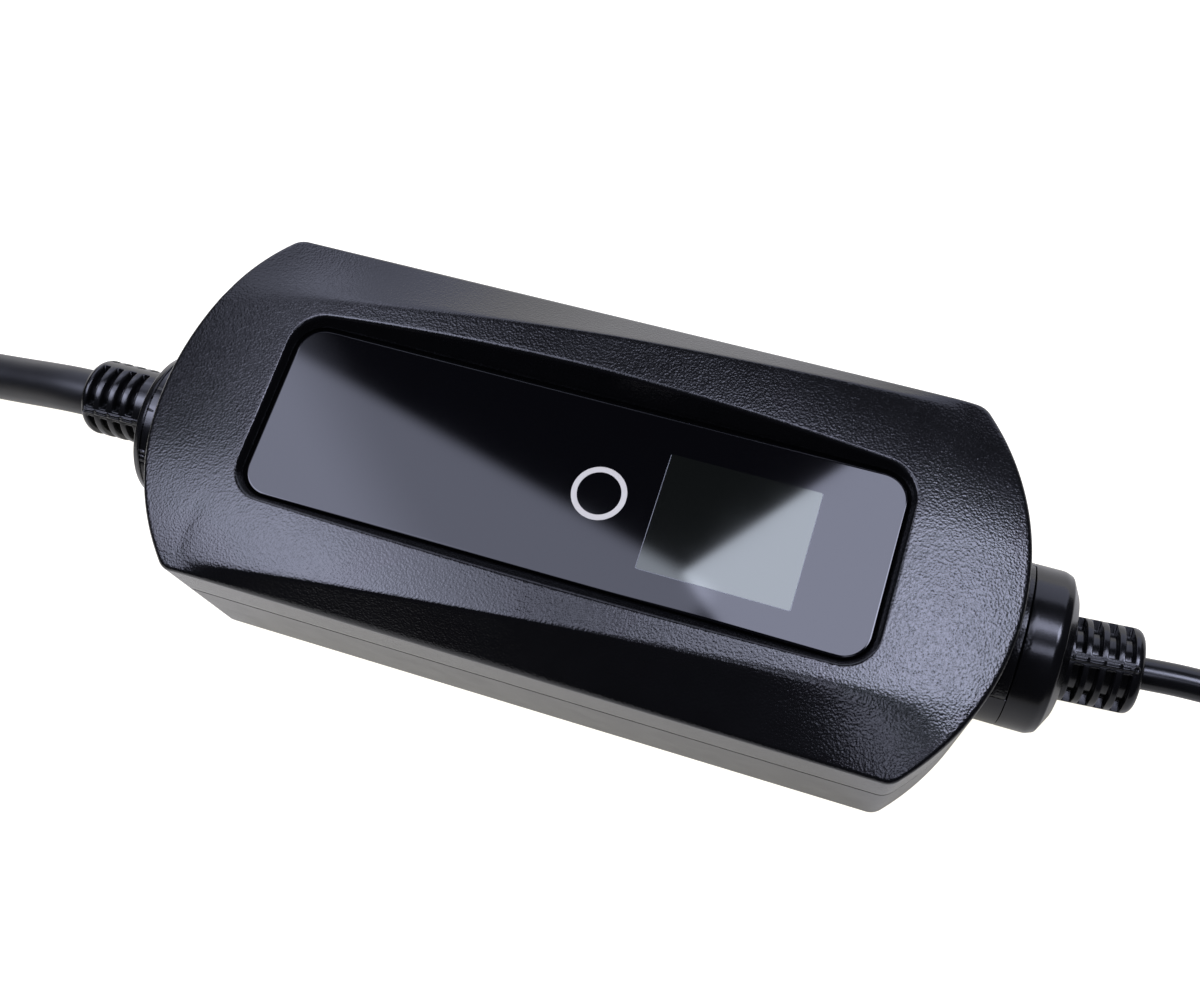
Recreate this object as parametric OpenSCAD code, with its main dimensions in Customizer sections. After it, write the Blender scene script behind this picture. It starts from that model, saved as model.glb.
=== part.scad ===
// Portable charger for electric cars: a flat control box with a glass touch panel,
// a thick cable to the car at the left and a thinner supply cord at the right.
// Millimetres, +X along the case to the supply cord, +Y to the far side, +Z up.
// The origin is the middle of the case's underside, on the table.

/* [Case] */
// Length between the tops of the round ends
case_l = 210; // [190:1:230]
// Width of the case
case_w = 90; // [86:1:100]
// Height of the glass face above the table
glass_h = 50; // [47:1:60]
// Radius of the round ends, seen from above
end_r = 64; // [58:1:80]
// Radius of the four corners, seen from above
corner_r = 4.5; // [4:0.5:8]
// Wall of both shells
wall = 2.8; // [2:0.2:3.2]
// Floor of the lower shell
floor_t = 3; // [2:0.5:4]
// Height of the parting line above the table
parting_h = 31; // [28:1:36]
// Height of the shadow gap along the parting line
shadow_h = 0.6; // [0.3:0.1:1]
// Depth of the shadow gap along the parting line
shadow_d = 0.4; // [0.2:0.1:0.6]
// Bevel round the underside
base_bevel = 2.5; // [1:0.5:4]

/* [Crown and side facets] */
// Height of the crown's middle above the glass face
crown_rise = 8; // [6:0.5:10]
// Radius of the crown along the case
crown_r = 560; // [500:10:700]
// Drop of the long edges below the glass face
edge_drop = 1.6; // [1:0.1:2.5]
// Distance of a crease from the middle line, at mid-length
crease_y = 35.2; // [34:0.1:37]
// Sideways run of a crease for each millimetre of length
crease_run = 0.09; // [0.07:0.01:0.1]
// Fall of a crease below the crown for each millimetre of its narrow half
crease_fall = 0.038; // [0.02:0.002:0.04]

/* [Glass panel] */
// Length of the glass
glass_l = 150; // [140:1:154]
// Width of the glass
glass_w = 44; // [40:1:46]
// Corner radius of the glass
glass_r = 6.5; // [4:0.5:9]
// Thickness of the glass
glass_t = 2; // [1.5:0.1:3]
// Gap round the glass
glass_gap = 0.6; // [0.3:0.1:1]
// Slope of the recess wall above the glass, from upright, in degrees
recess_draft = 24; // [15:1:28]
// Thickness of the foam tape under the glass
tape_t = 0.5; // [0.3:0.1:1]
// Width of the foam tape
tape_w = 3.5; // [2.5:0.5:3.5]
// Thickness of the deck that carries the glass
deck_t = 2.3; // [2:0.1:3]

/* [Touch key and screen] */
// Place of the touch key along the case
ring_x = 7.7; // [0:0.1:12]
// Place of the touch key across the case
ring_y = -0.2; // [-3:0.1:3]
// Outer radius of the white ring
ring_r = 6.5; // [5:0.1:8]
// Width of the white ring
ring_w = 1.35; // [1:0.05:2]
// Depth of the white ring in the glass
ring_t = 0.3; // [0.2:0.1:0.5]
// Diameter of the conductive foam pillar under the ring
touch_d = 8; // [6:0.5:9]
// Place of the screen along the case
screen_x = 38.75; // [37.5:0.25:39.25]
// Place of the screen across the case
screen_y = -0.7; // [-0.9:0.1:0.9]
// Length of the screen module
screen_l = 46; // [42:1:46]
// Width of the screen module
screen_w = 33; // [31:1:33]
// Length of the foam cushion behind the screen
cushion_l = 40; // [34:1:42]
// Width of the foam cushion behind the screen
cushion_w = 28; // [24:1:30]

/* [Boards] */
// Thickness of both circuit boards
board_t = 1.6; // [1:0.1:2]
// Length of the control board
control_l = 140; // [138:1:144]
// Width of the control board
control_w = 42; // [40:1:44]
// Height of the posts that carry the control board
control_post_h = 2.5; // [2:0.1:4]
// Length of the power board
power_l = 140; // [136:1:144]
// Width of the power board
power_w = 66; // [64:1:70]
// Height of the posts that carry the power board
power_post_h = 6; // [4:0.5:8]
// Height of the two relays
relay_h = 22; // [18:1:23]
// Length of a relay
relay_l = 30; // [26:1:31]
// Width of a relay
relay_w = 16; // [14:1:17]
// Outer diameter of the fault current sensor
sensor_d = 30; // [26:1:31]
// Bore of the fault current sensor
sensor_bore = 13; // [10:1:15]
// Height of the fault current sensor
sensor_h = 13; // [10:1:16]
// Height of the terminal blocks above the power board
terminal_h = 18; // [17:0.5:21]
// Length of a terminal block along the case
terminal_l = 12; // [10:1:14]
// Width of a terminal block
terminal_w = 26; // [22:1:30]

/* [Screws] */
// Thread diameter of the case screws
case_screw_d = 3; // [2.5:0.1:3.5]
// Distance of the case screws from mid-length
case_screw_x = 78; // [76:0.5:80]
// Distance of the case screws from the middle line
case_screw_y = 33; // [32:0.5:34]
// Height of the ledge that a case screw's head sits on
case_screw_seat = 12; // [8:1:16]
// Thread diameter of the board and clamp screws
small_screw_d = 2.2; // [2:0.1:2.6]
// Gap between a screw and its hole
screw_gap = 0.05; // [0.03:0.01:0.2]

/* [Cord entries] */
// Height of both cord entries above the table
entry_h = 20.5; // [20:0.1:25]
// Sideways place of the car cable's entry
vehicle_entry_y = -3.2; // [-4:0.1:4]
// Sideways place of the boot on the car cable's flange
vehicle_boot_y = 3.2; // [-4:0.1:4]
// Diameter of the boss and of the relief's flange
boss_d = 39; // [36:0.5:40]
// How far the boss stands past the round end
boss_out = 2; // [1:0.5:4]
// Length of the flange on the supply cord's relief
supply_flange_l = 11.2; // [8:0.1:13]
// Length of the flange on the car cable's relief
vehicle_flange_l = 8.5; // [7:0.1:12]
// Length of the flange's bevelled front
flange_bevel_l = 4; // [2:0.1:5]
// Fall of the flange's bevelled front towards the boot
flange_bevel_w = 5; // [2:0.1:6]
// Diameter of the slotted boot
boot_d = 20; // [18:0.5:24]
// Length of the slotted boot on the supply cord
supply_boot_l = 16.8; // [16.6:0.1:24]
// Length of the slotted boot on the car's cable
vehicle_boot_l = 21.8; // [18:0.1:24]
// Round of the boot's end
boot_round = 2; // [1:0.1:3]
// Diameter of the neck through the wall
neck_d = 24; // [20:0.5:26]
// Diameter of the lip inside the wall
lip_d = 30; // [28:0.5:32]
// Length of the lip inside the wall
lip_l = 3; // [2:0.5:4]
// Distance of the last slot row from the boot's end
slot_end = 2.6; // [2.4:0.1:3.5]
// Spacing of the slot rows on the supply cord's boot
slot_pitch = 3.6; // [3.4:0.1:3.8]
// Spacing of the slot rows on the car cable's boot
vehicle_slot_pitch = 4; // [3.4:0.1:4.2]
// Width of a slot
slot_w = 2; // [1.4:0.1:2.2]
// Depth of a slot
slot_depth = 2.6; // [1:0.1:3]
// Width of the bridges between the slots
bridge_w = 3.2; // [2:0.1:5]
// Width of the mould ridges along the boot
ridge_w = 1; // [0.6:0.1:2]
// Height of the mould ridges
ridge_h = 0.4; // [0.2:0.1:0.6]
// Droop of the boot on the car's cable, in degrees
vehicle_droop = 4; // [0:1:8]
// Sideways lean of the boot on the supply cord, in degrees
supply_lean = 4; // [0:1:8]
// Gap round the neck
neck_gap = 0.1; // [0.05:0.05:0.3]

/* [Car cable] */
// Diameter of the car's cable
vehicle_d = 12.5; // [11.5:0.1:13.5]
// Innermost fold of its hank, at the middle of the cable
vehicle_fold_r = 37.5; // [37:0.5:40]
// Straight length of its hank
vehicle_run = 112; // [105:1:120]
// Layers of cable in its hank
vehicle_layers = 4; // [3:1:5]
// Width of a hank strap
strap_w = 20; // [15:1:22]
// Thickness of a hank strap
strap_t = 1.5; // [1:0.1:2]

/* [Supply cord] */
// Diameter of the supply cord
supply_d = 7.5; // [7:0.1:8.5]
// Innermost fold of its hank, at the middle of the cord
supply_fold_r = 22.5; // [22:0.5:25]
// Straight length of its hank
supply_run = 65; // [60:1:75]
// Layers of cord in its hank
supply_layers = 2; // [2:1:3]

/* [Car connector] */
// Length of the grip and its shoulder
grip_l = 132; // [128:1:150]
// Radius of the shoulder behind the nose
shoulder_r = 30; // [29:0.5:33]
// Length of the cable boot outside the grip
grip_boot_l = 36; // [30:1:45]
// Radius of the nose
nose_r = 27; // [26:0.1:27.5]
// Length of the nose past the shoulder
nose_out = 38; // [34:1:42]
// Depth of the nose in the shoulder
nose_in = 8; // [6:0.5:9]
// Wall of the rubber cap
cap_t = 2.4; // [2:0.1:3]
// Bore of the power contacts
contact_bore = 6; // [5:0.1:6.2]
// Bore of the pilot contacts
pilot_bore = 3; // [2.5:0.1:3.4]
// Wall of a contact sleeve
contact_wall = 1; // [0.6:0.1:1.2]
// Gap between fitted pieces of the connector and of the plug
fit_gap = 0.05; // [0.03:0.01:0.2]

/* [Mains plug] */
// Radius of the plug's body
plug_r = 19; // [18:0.5:21]
// Length of the plug's body from cord to face
plug_l = 57; // [50:1:65]
// Diameter of a plug pin
pin_d = 4.8; // [4:0.1:4.8]
// Distance between the pins
pin_pitch = 19; // [18:0.5:19]
// Length of the pins past the face
pin_l = 19; // [17:0.5:20]
// Thickness of an earth strip
earth_t = 0.8; // [0.5:0.1:1]

/* [Hidden] */
$fn = 64;
eps = 0.01;

// Heights of the stack under the glass
deck_top = glass_h - glass_t - tape_t;
deck_z = deck_top - deck_t;
control_top = deck_z - control_post_h;
control_z = control_top - board_t;
power_z = floor_t + power_post_h;
power_top = power_z + board_t;
screen_t = tape_t + deck_t;
edge_z = glass_h - edge_drop;
end_cx = case_l / 2 - end_r;

// Places along the case, measured outward from the middle
boss_face = case_l / 2 + boss_out;
pad_gap = 0.2;
pad_x = end_cx + sqrt(pow(end_r - wall, 2) - pow(lip_d / 2 + abs(vehicle_entry_y), 2)) - pad_gap;
neck_l = boss_face - pad_x;
lip_x = pad_x - lip_l;
clamp_l = 8;
clamp_x = lip_x - 3 - clamp_l;
sheath_end = clamp_x - 3;
terminal_face = power_l / 2 - 2;
clamp_w = 30;
clamp_gap = 1;
supply_flange_face = boss_face + supply_flange_l;
vehicle_flange_face = boss_face + vehicle_flange_l;
clamp_top = 3.5;
clamp_bite = 8;

// Places and sizes of the parts on the power board
relay_spot = [-34, 8];
converter_spot = [39, 16];
converter_size = [30, 24, 19];
capacitor_spot = [38, -8];
capacitor_pitch = 14;
capacitor_size = [26, 10, 16];

// Screws and their posts
post_d = 8;
small_post_d = 6;
head_d = 2 * case_screw_d;
head_h = 0.8 * case_screw_d;
case_screw_top = deck_z - 4;
small_head_d = 2 * small_screw_d;
small_head_h = 0.8 * small_screw_d;
bite = 4;
control_screw_x = control_l / 2 - 3.5;
control_screw_y = control_w / 2 - 4;
power_screw_x = power_l / 2 - 6;
power_screw_y = power_w / 2 - 5;

// Seal in the rim of the lower shell
seal_in = 0.75;
seal_w = 1.3;
seal_h = 1;

// Hanks of both cords
vehicle_hank_x = -350;
vehicle_hank_far = vehicle_hank_x - vehicle_run;
vehicle_out_r = vehicle_fold_r + vehicle_d;
vehicle_hank_r = vehicle_out_r + vehicle_d / 2;
vehicle_hank_h = vehicle_layers * vehicle_d;
vehicle_top_z = strap_t + vehicle_hank_h - vehicle_d / 2;
vehicle_lead = 48;
vehicle_tail_lead = 38;
strap_inset = strap_w / 2 + 6;
supply_hank_x = 275;
supply_hank_y = -22.5;
supply_hank_far = supply_hank_x + supply_run;
supply_out_r = supply_fold_r + supply_d;
supply_hank_r = supply_out_r + supply_d / 2;
supply_hank_h = supply_layers * supply_d;
supply_top_z = strap_t + supply_hank_h - supply_d / 2;
supply_lead = 30;
supply_tail_lead = 31;

// Connector on the car cable's hank: X runs from its cable to its nose
connector_pos = [-482, 25, 2 * strap_t + vehicle_hank_h];
grip_boot_z = 16;
grip_front = grip_boot_l + grip_l;
nose_z = shoulder_r;
boot_plug_r = 12;
boot_plug_l = 10;
bulkheads = [[62, 12], [112, 10]];
core_hole_r = 6.5;
grip_cavity_r = 13;
grip_cavity_z = 18;
nose_cavity_r = 18;
nose_cavity_x = bulkheads[1][0] + bulkheads[1][1];
contact_spots = [[0, 0], [-14, 0], [14, 0], [-7.5, -13], [7.5, -13]];
pilot_spots = [[-7.5, 12], [7.5, 12]];
core_r = 1.2;
grip_screw_seat = 9;
grip_screw_bite = 8.5;

// Plug beside the supply cord's hank: X runs from its cord to its pins
plug_pos = [358, 33, plug_r];
plug_grip_r = 8;
pin_root = 8;
plug_front = 17;
plug_notch = 3;
plug_neck_l = 20;
plug_flare_l = 27;
plug_rings = 4;
plug_ring_at = 3;
plug_ring_pitch = 4.4;
plug_ring_w = 1.8;
plug_ring_depth = 0.9;

// Points of the cords between the box, the hanks and the plugs
vehicle_way = [-cos(vehicle_droop), 0, -sin(vehicle_droop)];
vehicle_root = [-vehicle_flange_face, vehicle_entry_y + vehicle_boot_y, entry_h];
vehicle_start = vehicle_root + vehicle_boot_l * vehicle_way;
vehicle_route = concat([vehicle_start],
    [[-146, 0, 17.9], [-155, 0, 15.8], [-166, 0, 12.8], [-178, 0, 9.9], [-190, 0, 7.8], [-205, -2, 6.7],
     [-220, -8, 6.5], [-236, -18, 6.5], [-252, -29, 6.7], [-268, -39, 7.1], [-285, -47, 7.5]],
    [[vehicle_hank_x + vehicle_lead, -vehicle_out_r, strap_t + vehicle_d / 2]]);
vehicle_tail_route = concat(
    [[vehicle_hank_far - vehicle_tail_lead, -vehicle_out_r, vehicle_top_z]],
    [[-512, -48.5, 47], [-525, -42, 50], [-534, -31, 54], [-537, -17, 58], [-535, -2, 61.5],
     [-528, 11, 64.5], [-516, 20.5, 67], [-500, 25, 68.5]],
    [connector_pos + [0, 0, grip_boot_z]]);
supply_way = [cos(supply_lean), sin(supply_lean), 0];
supply_start = [supply_flange_face, 0, entry_h] + supply_boot_l * supply_way;
supply_route = concat([supply_start],
    [[146, 2, 20.4], [157, 2, 20], [169, 0, 19], [181, -6, 17], [193, -16, 14.3], [205, -28, 11.4],
     [217, -39, 8.8], [229, -47.5, 6.8]],
    [[supply_hank_x - supply_lead, supply_hank_y - supply_out_r, strap_t + supply_d / 2]]);
supply_tail_route = concat(
    [[supply_hank_far + supply_tail_lead, supply_hank_y - supply_out_r, supply_top_z]],
    [[386, -50, 9.5], [401, -40, 6], [411, -25, 4.2], [413, -10, 3.9], [410, 7, 5], [399, 21, 8.5],
     [385, 30, 13.5], [371, 33, 17.5]],
    [plug_pos]);

function unit(v) = v / norm(v);

// Rings of points round a route, with the first and last face square to given directions
function heading(route, i, first, last) =
    i == 0 ? first : i == len(route) - 1 ? last : unit(route[i + 1] - route[i - 1]);
function ring_at(p, dir, r, sides) =
    let (side = unit(cross(dir, [0, 0, 1])), up = cross(side, dir))
    [for (k = [0 : sides - 1]) p + r * (cos(360 * k / sides) * side + sin(360 * k / sides) * up)];
function rings_along(route, r, first, last, sides) =
    [for (i = [0 : len(route) - 1]) ring_at(route[i], heading(route, i, first, last), r, sides)];

// Closed solid through a list of rings that have the same number of points
module skin(rings) {
    n = len(rings[0]);
    last = len(rings) - 1;
    walls = [for (i = [0 : last - 1], k = [0 : n - 1]) let (m = (k + 1) % n)
        each [[i * n + k, i * n + m, (i + 1) * n + m], [i * n + k, (i + 1) * n + m, (i + 1) * n + k]]];
    start = [[for (k = [n - 1 : -1 : 0]) k]];
    end = [[for (k = [0 : n - 1]) last * n + k]];
    polyhedron([for (ring = rings) each ring], concat(walls, start, end));
}

module tube(route, d, first, last, sides = 10) {
    skin(rings_along(route, d / 2, first, last, sides));
}

module along_x() {
    rotate([0, 90, 0]) children();
}

module each_corner(x, y) {
    for (sx = [-1, 1], sy = [-1, 1]) translate([sx * x, sy * y, 0]) children();
}

// The supply end as drawn, and the car end as the same half turned round and moved to its entry
module at_supply_end() {
    translate([0, 0, entry_h]) children();
}

module at_vehicle_end() {
    translate([0, vehicle_entry_y, entry_h]) rotate(180) children();
}

module rounded_rectangle(l, w, r) {
    square([l - 2 * r, w], center = true);
    square([l, w - 2 * r], center = true);
    for (sx = [-1, 1], sy = [-1, 1]) translate([sx * (l / 2 - r), sy * (w / 2 - r)]) circle(r);
}

// Case outline from above: straight sides, round ends and tangent corners
module outline(inset = 0) {
    half_w = case_w / 2 - inset;
    big_r = end_r - inset;
    small_r = corner_r - inset;
    cy = half_w - small_r;
    cx = sqrt(pow(big_r - small_r, 2) - pow(cy, 2));
    reach = 2 * end_r / cx;
    square([2 * (end_cx + cx), 2 * half_w], center = true);
    for (turn = [0, 180]) rotate(turn) translate([end_cx, 0]) {
        intersection() {
            circle(big_r, $fn = 128);
            polygon([[0, 0], reach * [cx, cy], reach * [cx, -cy]]);
        }
        for (side = [-1, 1]) translate([cx, side * cy]) circle(small_r);
    }
}

// Height of the crown, and of the far crease, at a place along the case
function crown(x) = glass_h + crown_rise - x * x / (2 * crown_r);
function crease_at(x) = [crease_y + crease_run * x, crown(x) - crease_fall * max(x, 0)];

// Form of the cover's top: a crown along the case that rolls over to the creases, and a twisted facet
// along each side. The near side is the far side turned half a turn about the middle.
module top_form() {
    stations = 16;
    reach_x = case_l / 2 + 6;
    reach_y = case_w / 2 + 6;
    roll_y = glass_w / 4;
    roll_steps = 4;
    low = parting_h - 6;
    function edge_of(c) = min(edge_z, c[1] - 0.4);
    function past_edge(c) = edge_of(c) + (c[1] - edge_of(c)) * (case_w / 2 - reach_y) / (case_w / 2 - c[0]);
    function roll(x, c, t) = [x, roll_y + (c[0] - roll_y) * t, crown(x) + (c[1] - crown(x)) * t * t];
    function far_side(x) = let (c = crease_at(x))
        concat([for (i = [0 : roll_steps]) roll(x, c, i / roll_steps)],
               [[x, reach_y, past_edge(c)], [x, reach_y, low]]);
    function near_side(x) = [for (p = far_side(-x)) [x, -p[1], p[2]]];
    function section(x) = let (near = near_side(x))
        concat([for (i = [len(near) - 1 : -1 : 0]) near[i]], far_side(x));
    skin([for (i = [0 : stations]) section(-reach_x + 2 * reach_x * i / stations)]);
}

module entry_boss() {
    translate([pad_x, 0, 0]) along_x() cylinder(d = boss_d, h = neck_l);
}

module entry_hole() {
    translate([pad_x - lip_l, 0, 0]) along_x()
        cylinder(d = neck_d + 2 * neck_gap, h = neck_l + 2 * lip_l);
}

module both_ends() {
    at_supply_end() children();
    at_vehicle_end() children();
}

// Half of the space above or below the parting plane
module below_parting() {
    translate([-case_l, -case_w, parting_h - 2 * case_w]) cube([2 * case_l, 2 * case_w, 2 * case_w]);
}

module above_parting() {
    translate([-case_l, -case_w, parting_h]) cube([2 * case_l, 2 * case_w, 2 * case_w]);
}

module seal_groove(gap = 0) {
    translate([0, 0, parting_h - seal_h]) linear_extrude(seal_h + gap) difference() {
        outline(seal_in - gap);
        outline(seal_in + seal_w + gap);
    }
}

module cradle() {
    translate([clamp_x, -clamp_w / 2, floor_t - entry_h - eps])
        cube([clamp_l, clamp_w, entry_h - floor_t - clamp_gap / 2 + eps]);
}

module cradle_cuts(cord_d) {
    translate([clamp_x - 1, 0, 0]) along_x() cylinder(d = cord_d, h = clamp_l + 2);
    for (side = [-1, 1]) translate([clamp_x + clamp_l / 2, side * clamp_screw_y(cord_d), -clamp_bite - 1])
        cylinder(d = small_screw_d + 2 * screw_gap, h = clamp_bite + 2);
}

function clamp_screw_y(cord_d) = cord_d / 2 + 5;

module lower_shell() {
    color("#202023") difference() {
        union() {
            difference() {
                union() {
                    translate([0, 0, base_bevel]) linear_extrude(parting_h - base_bevel) outline();
                    hull() {
                        linear_extrude(eps) outline(base_bevel);
                        translate([0, 0, base_bevel]) linear_extrude(eps) outline();
                    }
                }
                translate([0, 0, floor_t]) linear_extrude(parting_h) outline(wall);
            }
            intersection() {
                both_ends() entry_boss();
                below_parting();
            }
            at_supply_end() cradle();
            at_vehicle_end() cradle();
            each_corner(case_screw_x, case_screw_y) translate([0, 0, floor_t - eps])
                cylinder(d = post_d + 2 * wall, h = parting_h - floor_t + eps);
            each_corner(power_screw_x, power_screw_y) translate([0, 0, floor_t - eps])
                cylinder(d = small_post_d, h = power_post_h + eps);
        }
        both_ends() entry_hole();
        at_supply_end() cradle_cuts(supply_d);
        at_vehicle_end() cradle_cuts(vehicle_d);
        seal_groove(screw_gap);
        each_corner(case_screw_x, case_screw_y) {
            translate([0, 0, -1]) cylinder(d = case_screw_d + 0.4, h = parting_h + 2);
            translate([0, 0, -1]) cylinder(d = head_d + 0.6, h = case_screw_seat + 1);
        }
        each_corner(power_screw_x, power_screw_y) translate([0, 0, power_z - bite])
            cylinder(d = small_screw_d + 2 * screw_gap, h = bite + 1);
    }
}

// Recess for the glass: upright below the glass face, sloping outward above it
module recess() {
    l = glass_l + 2 * glass_gap;
    w = glass_w + 2 * glass_gap;
    rise = crown_rise + 4;
    spread = 2 * rise * tan(recess_draft);
    translate([0, 0, deck_top]) linear_extrude(glass_h - deck_top + eps)
        rounded_rectangle(l, w, glass_r + glass_gap);
    translate([0, 0, glass_h]) linear_extrude(rise, scale = [1 + spread / l, 1 + spread / w])
        rounded_rectangle(l, w, glass_r + glass_gap, $fn = 32);
}

module upper_shell() {
    color("#1b1b1e") difference() {
        union() {
            difference() {
                intersection() {
                    union() {
                        translate([0, 0, parting_h + shadow_h]) linear_extrude(2 * glass_h) outline();
                        translate([0, 0, parting_h]) linear_extrude(2 * shadow_h) outline(shadow_d);
                    }
                    top_form();
                }
                translate([0, 0, parting_h - 1]) linear_extrude(deck_z - parting_h + 1) outline(wall);
            }
            intersection() {
                both_ends() entry_boss();
                above_parting();
            }
            each_corner(case_screw_x, case_screw_y) translate([0, 0, parting_h])
                cylinder(d = post_d, h = deck_z - parting_h + eps);
            each_corner(control_screw_x, control_screw_y) translate([0, 0, control_top])
                cylinder(d = small_post_d, h = control_post_h + eps);
        }
        recess();
        both_ends() entry_hole();
        translate([screen_x, screen_y, deck_z - 1])
            linear_extrude(deck_t + 2) square([screen_l, screen_w] + [1, 1] * glass_gap, center = true);
        translate([ring_x, ring_y, deck_z - 1]) cylinder(d = touch_d + 2 * glass_gap, h = deck_t + 2);
        each_corner(case_screw_x, case_screw_y) translate([0, 0, parting_h - 1])
            cylinder(d = case_screw_d + 2 * screw_gap, h = case_screw_top - parting_h + 1.5);
        each_corner(control_screw_x, control_screw_y) translate([0, 0, control_top - 1])
            cylinder(d = small_screw_d + 2 * screw_gap, h = bite + 1);
    }
}

module case_seal() {
    color("#3a3a3c") difference() {
        seal_groove();
        both_ends() entry_hole();
    }
}

module glass_panel() {
    color("#0b0c10") difference() {
        translate([0, 0, glass_h - glass_t]) linear_extrude(glass_t)
            rounded_rectangle(glass_l, glass_w, glass_r);
        touch_ring_solid(1);
    }
}

module touch_ring_solid(over = 0) {
    translate([ring_x, ring_y, glass_h - ring_t]) difference() {
        cylinder(r = ring_r, h = ring_t + over);
        translate([0, 0, -1]) cylinder(r = ring_r - ring_w, h = ring_t + over + 2);
    }
}

module touch_ring() {
    color("#f2f2f2") touch_ring_solid();
}

module panel_tape() {
    color("#2c2c2c") translate([0, 0, deck_top]) linear_extrude(tape_t) difference() {
        rounded_rectangle(glass_l - 1, glass_w - 1, glass_r - 0.5);
        rounded_rectangle(glass_l - 1 - 2 * tape_w, glass_w - 1 - 2 * tape_w, glass_r - 0.5);
    }
}

module screen_module() {
    color("#30343a") translate([screen_x, screen_y, deck_z]) linear_extrude(screen_t)
        square([screen_l, screen_w], center = true);
}

module screen_cushion() {
    color("#4a4a4a") translate([screen_x, screen_y, control_top]) linear_extrude(control_post_h)
        square([cushion_l, cushion_w], center = true);
}

module touch_pillar() {
    color("#55565a") translate([ring_x, ring_y, control_top])
        cylinder(d = touch_d, h = glass_h - glass_t - control_top);
}

module board(l, w, z, screw_x, screw_y) {
    translate([0, 0, z]) difference() {
        linear_extrude(board_t) rounded_rectangle(l, w, 2);
        each_corner(screw_x, screw_y) translate([0, 0, -1])
            cylinder(d = small_screw_d + 0.4, h = board_t + 2);
    }
}

module control_board() {
    color("#1f5a3a") board(control_l, control_w, control_z, control_screw_x, control_screw_y);
}

module power_board() {
    color("#1f5a3a") board(power_l, power_w, power_z, power_screw_x, power_screw_y);
}

// Pan head on top of a shank that points down
module small_screw(shank) {
    translate([0, 0, -shank]) cylinder(d = small_screw_d, h = shank + eps);
    cylinder(d = small_head_d, h = small_head_h);
}

module control_screws() {
    color("#b8bcc0") each_corner(control_screw_x, control_screw_y) translate([0, 0, control_z])
        rotate([180, 0, 0]) small_screw(board_t + bite - 0.5);
}

module power_screws() {
    color("#b8bcc0") each_corner(power_screw_x, power_screw_y) translate([0, 0, power_top])
        small_screw(board_t + bite - 0.5);
}

// Flat ribbon between the two boards, with a connector at each end
module board_ribbon() {
    ribbon_w = 14;
    socket = [18, 5, 4];
    color("#d8d8d4") translate([-6, -16, power_top]) {
        translate([-socket[0] / 2, -socket[1] / 2, 0]) cube(socket);
        translate([-socket[0] / 2, -socket[1] / 2, control_z - power_top - socket[2]]) cube(socket);
        translate([-ribbon_w / 2, -0.4, 0]) cube([ribbon_w, 0.8, control_z - power_top]);
    }
}

module relays() {
    color("#e6e2d6") for (side = [-1, 1])
        translate([relay_spot[0], relay_spot[1] + side * (relay_w / 2 + 1), power_top])
            linear_extrude(relay_h) rounded_rectangle(relay_l, relay_w, 1);
}

module fault_sensor() {
    color("#2a2d33") translate([7, 14, power_top]) difference() {
        cylinder(d = sensor_d, h = sensor_h);
        translate([0, 0, -1]) cylinder(d = sensor_bore, h = sensor_h + 2);
    }
}

module supply_converter() {
    color("#17181a") translate([converter_spot[0], converter_spot[1], power_top])
        linear_extrude(converter_size[2]) rounded_rectangle(converter_size[0], converter_size[1], 1);
}

module filter_capacitors() {
    color("#d9b53a") for (i = [0, 1])
        translate([capacitor_spot[0], capacitor_spot[1] - capacitor_pitch * i, power_top])
            linear_extrude(capacitor_size[2]) rounded_rectangle(capacitor_size[0], capacitor_size[1], 1);
}

module terminal_block() {
    translate([terminal_face - terminal_l, -terminal_w / 2, power_top])
        cube([terminal_l, terminal_w, terminal_h]);
}

module supply_terminals() {
    color("#3f7f4f") terminal_block();
}

module vehicle_terminals() {
    color("#3f7f4f") rotate(180) terminal_block();
}

// Sheathed cord inside the case, and its cores to the terminal block
module inner_cord(cord_d, core_d, cores) {
    translate([sheath_end, 0, 0]) along_x() cylinder(d = cord_d, h = lip_x - sheath_end);
    for (i = [0 : cores - 1]) rotate([360 * i / cores, 0, 0])
        translate([terminal_face, 0, cord_d / 2 - core_d / 2 - 0.6])
            along_x() cylinder(d = core_d, h = sheath_end - terminal_face + 1);
}

module supply_cores() {
    color("#3c3c40") at_supply_end() inner_cord(supply_d, 2.2, 3);
}

module vehicle_cores() {
    color("#3c3c40") at_vehicle_end() inner_cord(vehicle_d, 3, 5);
}

module clamp_bar(cord_d) {
    top = cord_d / 2 + clamp_top;
    difference() {
        translate([clamp_x, -clamp_w / 2, clamp_gap / 2])
            cube([clamp_l, clamp_w, top - clamp_gap / 2]);
        translate([clamp_x - 1, 0, 0]) along_x() cylinder(d = cord_d, h = clamp_l + 2);
        for (side = [-1, 1]) translate([clamp_x + clamp_l / 2, side * clamp_screw_y(cord_d), 0])
            cylinder(d = small_screw_d + 0.4, h = top + 1);
    }
}

module supply_clamp() {
    color("#2b2b2e") at_supply_end() clamp_bar(supply_d);
}

module vehicle_clamp() {
    color("#2b2b2e") at_vehicle_end() clamp_bar(vehicle_d);
}

module clamp_pair(cord_d) {
    for (side = [-1, 1])
        translate([clamp_x + clamp_l / 2, side * clamp_screw_y(cord_d), cord_d / 2 + clamp_top])
            small_screw(cord_d / 2 + clamp_top + clamp_bite);
}

module clamp_screws() {
    color("#b8bcc0") {
        at_supply_end() clamp_pair(supply_d);
        at_vehicle_end() clamp_pair(vehicle_d);
    }
}

module case_screws() {
    color("#8f9398") each_corner(case_screw_x, case_screw_y) {
        translate([0, 0, case_screw_seat - head_h]) cylinder(d = head_d, h = head_h);
        translate([0, 0, case_screw_seat - eps])
            cylinder(d = case_screw_d, h = case_screw_top - case_screw_seat);
    }
}

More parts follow.
